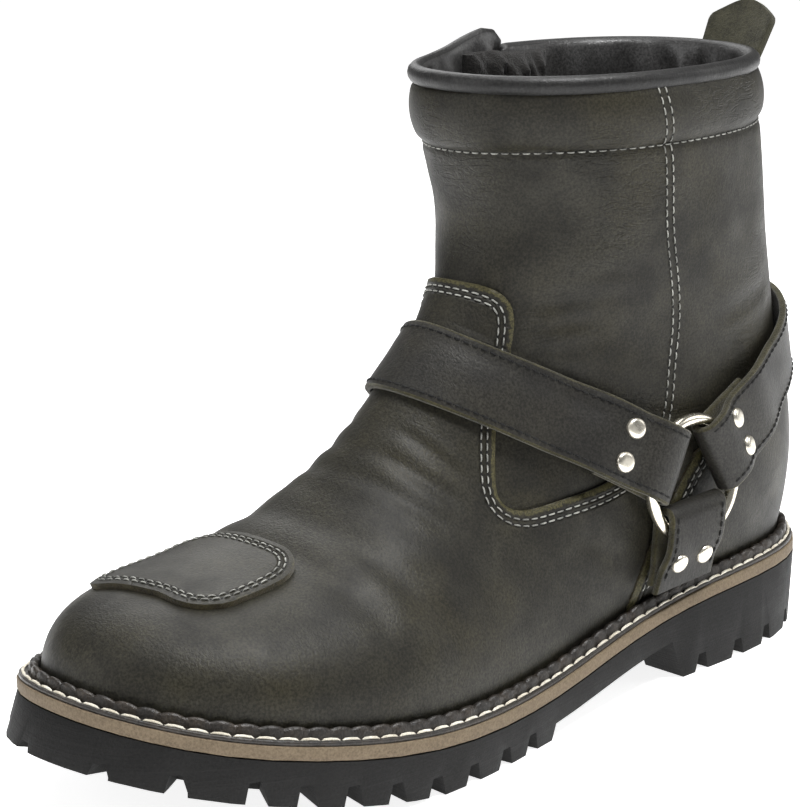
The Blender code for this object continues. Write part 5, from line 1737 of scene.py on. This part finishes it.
        def read(grid: Array) -> Array:
            """Reads a grid between its points."""
            low = grid[i, j] * (1.0 - b) + grid[i, j + 1] * b
            high = grid[i + 1, j] * (1.0 - b) + grid[i + 1, j + 1] * b
            return low * (1.0 - a) + high * a

        on_boot = read(laid.places) + unit(read(laid.normals)) * height[:, None]
        flat_way = unit(laid.way - self.normal * (laid.way @ self.normal))
        across = np.cross(self.normal, flat_way)
        flat = self.middle + distance[:, None] * flat_way + aside[:, None] * across
        flat = flat + (height - self.over)[:, None] * self.normal
        share = ease(ramp(distance, *self.bedding))[:, None]
        return flat * (1.0 - share) + on_boot * share

    def course(self, laid: Laid) -> tuple[Array, int]:
        """The strap's path as (distance, height), from its far end round the ring and back.

        Args:
            laid: Its course over the upper.

        Returns:
            The path, and the number of its points before the fold.
        """
        inner = self.lift + self.thick / 2.0
        outer = self.over + self.wire + self.last.gap + self.thick / 2.0
        bend = (outer - inner) / 2.0
        hole = self.radius - self.wire - 1.5 * self.last.gap
        spare = laid.skew * self.width / 2.0
        last = laid.reach[-1] - spare
        nose = math.sqrt(hole ** 2 - (self.width / 2.0) ** 2) + bend - self.thick / 2.0 - spare
        double = inner + self.thick + self.last.gap
        if last < self.fold + 22.0:
            top = [(last, double)]
        else:
            top = [(d, inner) for d in np.linspace(last, self.fold + 16.0, max(3, int(last / 8.0)))]
            top += [(self.fold + 4.0, double)]
        over = self.radius * math.hypot(1.0, laid.skew)
        top += [(over + 11.5, double + 0.1), (over + 7.0, double + 0.8), (over + 3.0, outer - 1.2)]
        top += [(over - 1.0, outer)]
        turns = np.linspace(0.0, math.pi, 13)
        arc = [(nose - bend * math.sin(t), inner + bend + bend * math.cos(t)) for t in turns]
        tail = [(over + self.wire + 2.0, inner), (self.front_rivet, inner)]
        tail += [(min(self.fold, last - 2.0), inner)]
        upper = even_steps(round_corners(top + arc[:4], 3), 1.3)
        lower = even_steps(round_corners(arc[3:] + tail, 2), 0.9)
        return np.vstack([upper, lower[1:]]), len(upper)

    def strap(self, name: str, laid: Laid) -> None:
        """One strap, folded round the ring, with rounded edges.

        Args:
            name: Which strap.
            laid: Its course over the upper.
        """
        path, before = self.course(laid)
        way = unit(np.gradient(path, axis=0))
        side = np.stack([way[:, 1], -way[:, 0]], axis=1)
        half, deep, corner = self.width / 2.0, self.thick / 2.0, self.corner
        flat = np.linspace(-half + corner, half - corner, self.columns)
        loop = [(w, deep + 0.12 * (1.0 - (w / half) ** 2)) for w in flat]
        arcs = np.radians(np.linspace(90.0, 0.0, 4))[1:]
        right = [(half - corner * (1.0 - math.cos(t)), deep - corner * (1.0 - math.sin(t))) for t in arcs]
        loop += right + [(w, -t) for w, t in right[::-1]]
        loop += [(w, -deep) for w in flat[::-1]]
        loop += [(-w, -t) for w, t in right] + [(-w, t) for w, t in right[::-1]]
        loop = np.array(loop)
        count = len(loop)
        distance = (path[:, None, 0] + side[:, None, 0] * loop[None, :, 1]).ravel()
        height = (path[:, None, 1] + side[:, None, 1] * loop[None, :, 1]).ravel()
        aside = np.tile(loop[:, 0], len(path))
        points = self.spot(laid, distance, aside, height)
        faces = tube_faces(len(path), count, False)
        raw = np.abs(loop[:, 0]) > half - corner - 0.01
        ring_kind = np.where(raw & np.roll(raw, -1), 1, 0)
        back = len(flat) + 2 * len(right)
        ring_kind[back:back + len(flat) - 1] = 1
        kinds = np.append(np.tile(ring_kind, len(path) - 1), [1, 1])
        finishes = [self.finishes.strap, self.finishes.strap_edge]
        piece = add_piece(f"strap_{name}", points, faces, finishes, kinds)
        settle(piece, [f"{name}_strap"])
        spots = path[3:before - 1]
        for edge in (-1.0, 1.0):
            aside = np.full(len(spots), edge * (half - self.row_inset))
            face = spots + side[3:before - 1] * (deep + 0.03)
            over = spots + side[3:before - 1] * (deep + 1.03)
            line = self.spot(laid, face[:, 0], aside, face[:, 1])
            out = self.spot(laid, over[:, 0], aside, over[:, 1]) - line
            self.sewn.append((line, out))

    def rivets(self, name: str, laid: Laid, reach: float) -> None:
        """The two domed rivets that close a fold, each cut from a sphere.

        Args:
            name: Which strap.
            laid: Its course over the upper.
            reach: Distance of the rivets from the ring's middle.
        """
        path, before = self.course(laid)
        path = path[:before][::-1]
        for number, sign in ((1, 1.0), (2, -1.0)):
            probe = np.vstack([np.zeros(3), np.diag((1.5, 1.0, 1.0))]) + (reach, 0.0, 0.0)
            top = np.interp(probe[:, 0], path[:, 0], path[:, 1]) + self.thick / 2.0
            spots = self.spot(laid, probe[:, 0], probe[:, 1] + sign * self.spread, probe[:, 2] + top)
            up = unit(np.cross(spots[1] - spots[0], spots[2] - spots[0]))
            up = up * np.sign(up @ (spots[3] - spots[0]))
            base = Vector((spots[0] - up * 0.1) * MM)
            turn = Vector((0.0, 0.0, 1.0)).rotation_difference(Vector(up))
            bpy.ops.object.select_all(action="DESELECT")
            bpy.ops.mesh.primitive_uv_sphere_add(segments=40, ring_count=24, radius=self.rivet * MM)
            piece = bpy.context.object
            piece.name = f"rivet_head_{name}_{number}"
            bpy.ops.object.mode_set(mode="EDIT")
            bpy.ops.mesh.select_all(action="SELECT")
            bpy.ops.mesh.bisect(
                plane_co=(0.0, 0.0, 0.0), plane_no=(0.0, 0.0, 1.0), use_fill=True, clear_inner=True
            )
            bpy.ops.object.mode_set(mode="OBJECT")
            for vertex in piece.data.vertices:
                rise = min(1.0, vertex.co.z / (self.rivet * MM))
                vertex.co.z = self.dome * MM * (1.0 - (1.0 - rise) ** 2.0)
            piece.data.transform(Matrix.Translation(base) @ turn.to_matrix().to_4x4())
            piece.data.materials.append(self.finishes.rivet)
            smooth(piece, 50.0)
            settle(piece, [f"rivet_{name}_{number}"])


@dataclass
class Zip:
    """The closed zip on the inner side: tape, teeth, slider, pull and the flap behind it."""

    last: Last
    finishes: Finishes
    tree: BVHTree
    nodes: dict
    foot: float = 57.3
    top: float = 188.0
    tape_width: float = 26.0
    tape_thick: float = 0.9
    tape_step: float = 2.0
    depth: float = 3.7
    pitch: float = 2.1
    tooth: tuple[float, float, float] = (1.95, 0.62, 3.0)
    tooth_taper: float = 0.72
    flap_top: float = 203.0
    flap_half: float = 20.0
    shaft_top: float = 193.0
    puff: float = 9.0

    def build(self) -> None:
        """Builds every piece of the zip."""
        self.tape()
        self.teeth()
        self.flap()
        carried, metal = Carried(self.nodes), self.finishes.zip_metal
        carried.copy("zip_slider", "zip_runner", metal, "zip_metal", 0.3)
        carried.copy("zip_pull", "zip_puller", metal, "zip_metal", 0.25, body="zip_pull")

    def frame(self, aside: float, height: float) -> tuple[Array, Array]:
        """A place on the shaft's inner side and the direction out of it.

        Args:
            aside: Distance in front of the zip's middle.
            height: Height over the floor.

        Returns:
            The place and the direction.
        """
        start = self.last.scene(-4.0, self.last.zip_station + aside, height)
        way = np.array([-1.0, 0.0, 0.0])
        spot = hit(self.tree, start, way)
        steps = np.array([(0.0, 0.0, 1.5), (0.0, 3.0, 0.0)])
        rise, along = (hit(self.tree, start + s, way) - hit(self.tree, start - s, way) for s in steps)
        normal = unit(np.cross(rise, along))
        return spot, normal * -np.sign(normal[0])

    def tape(self) -> None:
        """The woven tape."""
        face, half = -self.depth, self.tape_width / 2.0
        asides = np.linspace(half, -half, 9)
        section = [(a, face + 0.5 * math.exp(-((a / 4.0) ** 2))) for a in asides]
        section += [(a, face - self.tape_thick) for a in asides[::-1]]
        heights = np.arange(self.foot, self.top, self.tape_step)
        points = []
        for height in heights:
            for aside, offset in section:
                spot, out = self.frame(aside, height)
                points.append(spot + out * offset)
        faces = tube_faces(len(heights), len(section), False)
        piece = add_piece("zip_band", np.array(points), faces, [self.finishes.tape])
        settle(piece, ["zip_tape"])

    def teeth(self) -> None:
        """The row of teeth: one tooth, repeated up both sides of the zip."""
        ends = (-1.0, 1.0)
        shape = np.array([(a, u, o) for o in (-0.1, 1.0) for u in ends for a in ends])
        shape[shape[:, 2] > 0.5, :2] *= self.tooth_taper
        shape *= self.tooth
        teeth = []
        for k, height in enumerate(np.arange(self.foot + 1.0, self.top - 1.0, self.pitch / 2.0)):
            spot, out = self.frame(0.0, height)
            up = unit(self.frame(0.0, height + 1.0)[0] - spot)
            across = np.cross(up, out)
            middle = spot + out * (0.4 - self.depth) + across * (0.75 if k % 2 else -0.75)
            teeth.append(middle + shape @ np.stack([across, up, out]))
        faces = copied_faces(BOX, len(teeth), len(shape))
        piece = add_piece("zip_teeth", np.vstack(teeth), faces, [self.finishes.zip_metal], angle=30.0)
        settle(piece)

    def flap(self) -> None:
        """The soft fleece flap behind the zip."""
        face = -self.depth - self.tape_thick - 0.9
        asides = np.linspace(self.flap_half, -self.flap_half, 49)
        rings = []
        for height in np.arange(self.foot, self.flap_top, 1.2):
            high = ramp(height, 160.0, 186.0) * min(1.0, 0.25 + (self.flap_top - height) / 5.0)
            near, ring = min(height, self.shaft_top), []
            for a in np.append(asides, asides[::-1]):
                spot, out = self.frame(a, near)
                swell = high * (1.0 - (a / self.flap_half) ** 2) ** 0.5
                lumps = 0.7 + 0.2 * math.sin(0.55 * a + 0.21 * height)
                lumps += 0.07 * math.sin(1.2 * a - 0.5 * height)
                offset = face - 0.2 + 0.2 * math.sin(a * 1.9)
                if len(ring) >= len(asides):
                    offset = face - 2.0 + 0.4 * math.sin(a * 1.3) - self.puff * swell * lumps
                ring.append(spot + out * offset + (0.0, 0.0, height - near))
            rings.append(ring)
        points = np.array(rings)
        faces = tube_faces(len(points), points.shape[1], False)
        piece = add_piece("zip_gusset", points.reshape(-1, 3), faces, [self.finishes.fleece])
        settle(piece, ["zip_flap"])


@dataclass
class Carried:
    """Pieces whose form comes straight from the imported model, with their edges rounded."""

    nodes: dict

    def copy(
        self,
        node: str,
        name: str,
        finish: Material,
        slot: str,
        width: float,
        segments: int = 2,
        body: str = BOOT,
    ) -> None:
        """Copies a node, rounds its edges, gives it a finish and settles it.

        Args:
            node: Name of the node.
            name: Name of the new piece.
            finish: Its material.
            slot: Not used.
            width: Width of the rounding.
            segments: Faces across the rounding.
            body: The body that the piece moves with.
        """
        mesh = self.nodes[node].data.copy()
        mesh.name = name
        piece = bpy.data.objects.new(name, mesh)
        bpy.context.scene.collection.objects.link(piece)
        activate(piece)
        bpy.ops.object.mode_set(mode="EDIT")
        bpy.ops.mesh.select_all(action="SELECT")
        bpy.ops.mesh.remove_doubles(threshold=0.01 * MM)
        bpy.ops.mesh.dissolve_limited(angle_limit=math.radians(1.0))
        bpy.ops.object.mode_set(mode="OBJECT")
        apply_modifier(
            piece, "BEVEL", width=width * MM, segments=segments, limit_method="ANGLE",
            angle_limit=math.radians(38.0), use_clamp_overlap=True,
        )
        mesh = piece.data
        mesh.materials.clear()
        mesh.materials.append(finish)
        mesh.polygons.foreach_set("material_index", np.zeros(len(mesh.polygons), dtype=np.int32))
        smooth(piece, 45.0)
        settle(piece, [node], body)


@dataclass
class Sole:
    """The welt with its stitches, the midsole, the outsole and the foot bed."""

    last: Last
    finishes: Finishes
    tree: BVHTree
    nodes: dict
    margin: float = 9.0
    inset: float = 0.7
    thick: float = 1.6
    rib: float = 5.2
    panel: float = 1.8
    pitch: float = 6.4
    step: float = 0.8
    probe: float = 8.0

    def build(self) -> None:
        """Builds every layer under the upper."""
        self.welt()
        carried = Carried(self.nodes)
        carried.copy("midsole", "midsole_board", self.finishes.board, "midsole_leather", 0.5, 3)
        carried.copy("outsole", "lug_sole", self.finishes.rubber, "sole_rubber", 0.45)
        carried.copy("insole", "foot_bed", self.finishes.bed, "insole_cloth", 0.6)

    def upper_margin(self, side: Side, share: float, height: float) -> float:
        """How far outside the feather line the panels stand.

        Args:
            side: Outer or inner side.
            share: Share from the toe tip to the heel seat.
            height: Height over the midsole.

        Returns:
            The distance.
        """
        inward, edge = self.last.feather(side, np.array([share, share]), np.array([-self.probe, 0.0]))
        level = self.last.sole_at(edge[1]) + self.last.midsole_thick + height
        start, middle = self.last.scene(*np.transpose([inward, edge]), level)
        spot = hit(self.tree, start, middle - start)
        return float(np.linalg.norm(spot - start)) - self.probe + self.panel + 3.3 * self.last.gap

    def beside(self, line: Array, margin: float, height: float) -> Array:
        """A place beside the feather line.

        Args:
            line: x and station on the line, and the direction out of it.
            margin: Distance from the line.
            height: Height over the midsole.

        Returns:
            The scene place.
        """
        x, station = line[:2] + line[2:4] * margin
        base = self.last.sole_at(np.array([station]))[0] + self.last.midsole_thick
        return self.last.scene(x, station, base + height)

    def welt(self) -> None:
        """The strip round the boot: a crimped rib, a flat ledge and a row of lock stitches."""
        shares = (1.0 - np.cos(np.linspace(0.0, math.pi, 91))) / 2.0
        route = [(Side.OUTER, s) for s in shares] + [(Side.INNER, s) for s in shares[-2:0:-1]]
        sections = []
        edge = self.margin - self.inset
        for side, share in route:
            low = self.upper_margin(side, share, 1.4)
            high = self.upper_margin(side, share, self.rib)
            at = self.last.feather(side, np.array([share, share]), np.array([0.0, 1.0]))
            sections.append([*at[0], *(at[1] - at[0]), min(low, high), high])
        sections = np.array(sections + sections[:1])
        length = lengths(sections[:, :2])
        scallops = round(length[-1] / self.pitch)
        places = np.linspace(0.0, length[-1], int(length[-1] / self.step), endpoint=False)
        core = smooth_curve(length, sections, closed=True)(places)
        phase = places / length[-1] * scallops % 1.0
        crimp = np.sin(math.pi * phase) ** 0.55
        rings, row, out = [], [], []
        for line, bulge in zip(core, crimp):
            low, high = line[4:]
            crest = self.rib - 1.15 * (1.0 - bulge)
            reach = high + 0.55 * bulge
            profile = (
                (low, 0.05), (edge - 0.25, 0.05), (edge, 0.3), (edge, self.thick - 0.5),
                (edge - 0.35, self.thick - 0.12), (edge - 0.8, self.thick),
                (reach + 2.75, self.thick - 0.1), (reach + 2.5, self.thick + 0.5),
                (reach + 2.25, crest - 1.0), (reach + 1.75, crest - 0.25), (reach + 1.2, crest),
                (reach + 0.7, crest - 0.2), (high + 0.25, crest - 0.6),
            )
            rings.append([self.beside(line, *corner) for corner in profile])
            row.append(self.beside(line, max(high + 3.6, edge - 1.2), self.thick - 0.1))
            out.append((0.0, 0.0, 1.0))
        points = np.array(rings)
        faces = tube_faces(len(points), points.shape[1], True)
        piece = add_piece("storm_welt", points.reshape(-1, 3), faces, [self.finishes.welt], angle=55.0)
        settle(piece, ["welt"])
        row.append(row[0])
        out.append(out[0])
        self.finishes.welt_thread.sew("welt_stitches", [(np.array(row), np.array(out))], "welt_leather")


@dataclass
class Studio:
    """The pale floor, the soft light and the camera at the photograph's place."""

    last: Last
    azimuth: float = 48.0
    elevation: float = 12.0
    distance: float = 740.0
    focal: float = 2330.0
    shift: tuple[float, float] = (-13.5, 8.5)
    roll: float = 0.006
    tilt: float = 2.2
    aim: tuple[float, float, float] = (0.0, 150.0, 90.0)
    pivot: tuple[float, float, float] = (1.0, 180.0, 0.0)
    slip: float = 1.3
    image: tuple[int, int] = (800, 807)
    sensor: float = 36.0
    room: float = 0.17
    glow: float = 0.85

    def build(self) -> None:
        """Sets the floor, the light and the camera."""
        self.floor()
        self.light()
        self.camera()

    def floor(self) -> None:
        """A wide pale floor."""
        bpy.ops.object.select_all(action="DESELECT")
        bpy.ops.mesh.primitive_plane_add(size=30.0, location=(0.0, 0.0, -0.0002))
        floor = bpy.context.object
        floor.name = "floor"
        g = Graph("floor_paint")
        tone = g.noise(3.0, 2.0)
        colour = g.mix(tone, (0.88, 0.88, 0.88), (0.91, 0.91, 0.91))
        paint = g.dress(
            Base_Color=colour, Roughness=0.9, Specular_IOR_Level=0.1,
            Emission_Color=(1.0, 1.0, 1.0), Emission_Strength=self.glow,
        )
        floor.data.materials.append(paint)

    def light(self) -> None:
        """A white room with soft lamps."""
        scene = bpy.context.scene
        world = bpy.data.worlds.new("room")
        world.use_nodes = True
        back = world.node_tree.nodes["Background"]
        back.inputs["Color"].default_value = (1.0, 1.0, 1.0, 1.0)
        seen = world.node_tree.nodes.new("ShaderNodeLightPath").outputs["Is Camera Ray"]
        spread = world.node_tree.nodes.new("ShaderNodeMapRange")
        spread.inputs["To Min"].default_value = self.room
        spread.inputs["To Max"].default_value = 1.0
        world.node_tree.links.new(seen, spread.inputs["Value"])
        world.node_tree.links.new(spread.outputs["Result"], back.inputs["Strength"])
        scene.world = world
        scene.view_settings.view_transform = "Standard"
        lamps = (
            # name, place, size, watts
            ("left", (-0.55, -1.25, 0.75), 0.9, 3.6),
            ("top", (-0.05, 0.05, 1.30), 1.3, 12.0),
            ("key", (0.42, 0.05, 1.20), 0.35, 11.5),
            ("back", (-1.05, 0.55, 0.95), 0.9, 6.0),
            ("right", (0.75, 1.15, 0.75), 0.8, 3.5),
        )
        for name, place, size, watts in lamps:
            lamp = bpy.data.lights.new(name, "AREA")
            lamp.shape = "DISK"
            lamp.size = size
            lamp.energy = watts
            holder = bpy.data.objects.new(name, lamp)
            scene.collection.objects.link(holder)
            holder.location = place
            aim = Vector((0.0, 0.0, 0.09)) - Vector(place)
            holder.rotation_euler = aim.to_track_quat("-Z", "Y").to_euler()

    def camera(self) -> None:
        """A camera where the photograph was taken from."""
        a, e, lean = (math.radians(v) for v in (self.azimuth, self.elevation, self.tilt))
        back = Vector((math.sin(a) * math.cos(e), -math.cos(a) * math.cos(e), math.sin(e)))
        right = Vector((math.cos(a), math.sin(a), 0.0))
        up = back.cross(right)
        target, pivot = Vector(self.last.scene(*self.aim)), Vector(self.last.scene(*self.pivot))
        turn = Matrix.Rotation(-lean, 3, "X")
        target = turn @ (target - pivot) + pivot - Vector((0.0, self.slip, 0.0))
        back, right, up = turn @ back, turn @ right, turn @ up
        place = target + back * self.distance + right * self.shift[0] + up * self.shift[1]
        across = right * math.cos(self.roll) + up * math.sin(self.roll)
        top = up * math.cos(self.roll) - right * math.sin(self.roll)
        lens = bpy.data.cameras.new("photo_camera")
        lens.sensor_width = self.sensor
        lens.lens = self.focal * self.sensor / max(self.image)
        lens.clip_start = 0.05
        holder = bpy.data.objects.new("photo_camera", lens)
        bpy.context.scene.collection.objects.link(holder)
        facing = Matrix((across, top, back)).transposed().to_4x4()
        holder.matrix_world = Matrix.Translation(place * MM) @ facing
        bpy.context.scene.camera = holder


def main() -> None:
    """Builds the boot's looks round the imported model."""
    logging.basicConfig(level=logging.INFO, format="%(name)s: %(message)s")
    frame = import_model()
    bpy.ops.object.select_all(action="DESELECT")
    last = Last()
    Studio(last).build()
    tree = outer_face(last)
    finishes = Finishes()
    Upper(Shell(last), finishes).build(tree)
    Harness(last, finishes, tree).build()
    Zip(last, finishes, tree, frame["nodes"]).build()
    Sole(last, finishes, tree, frame["nodes"]).build()


if __name__ == "__main__":
    main()
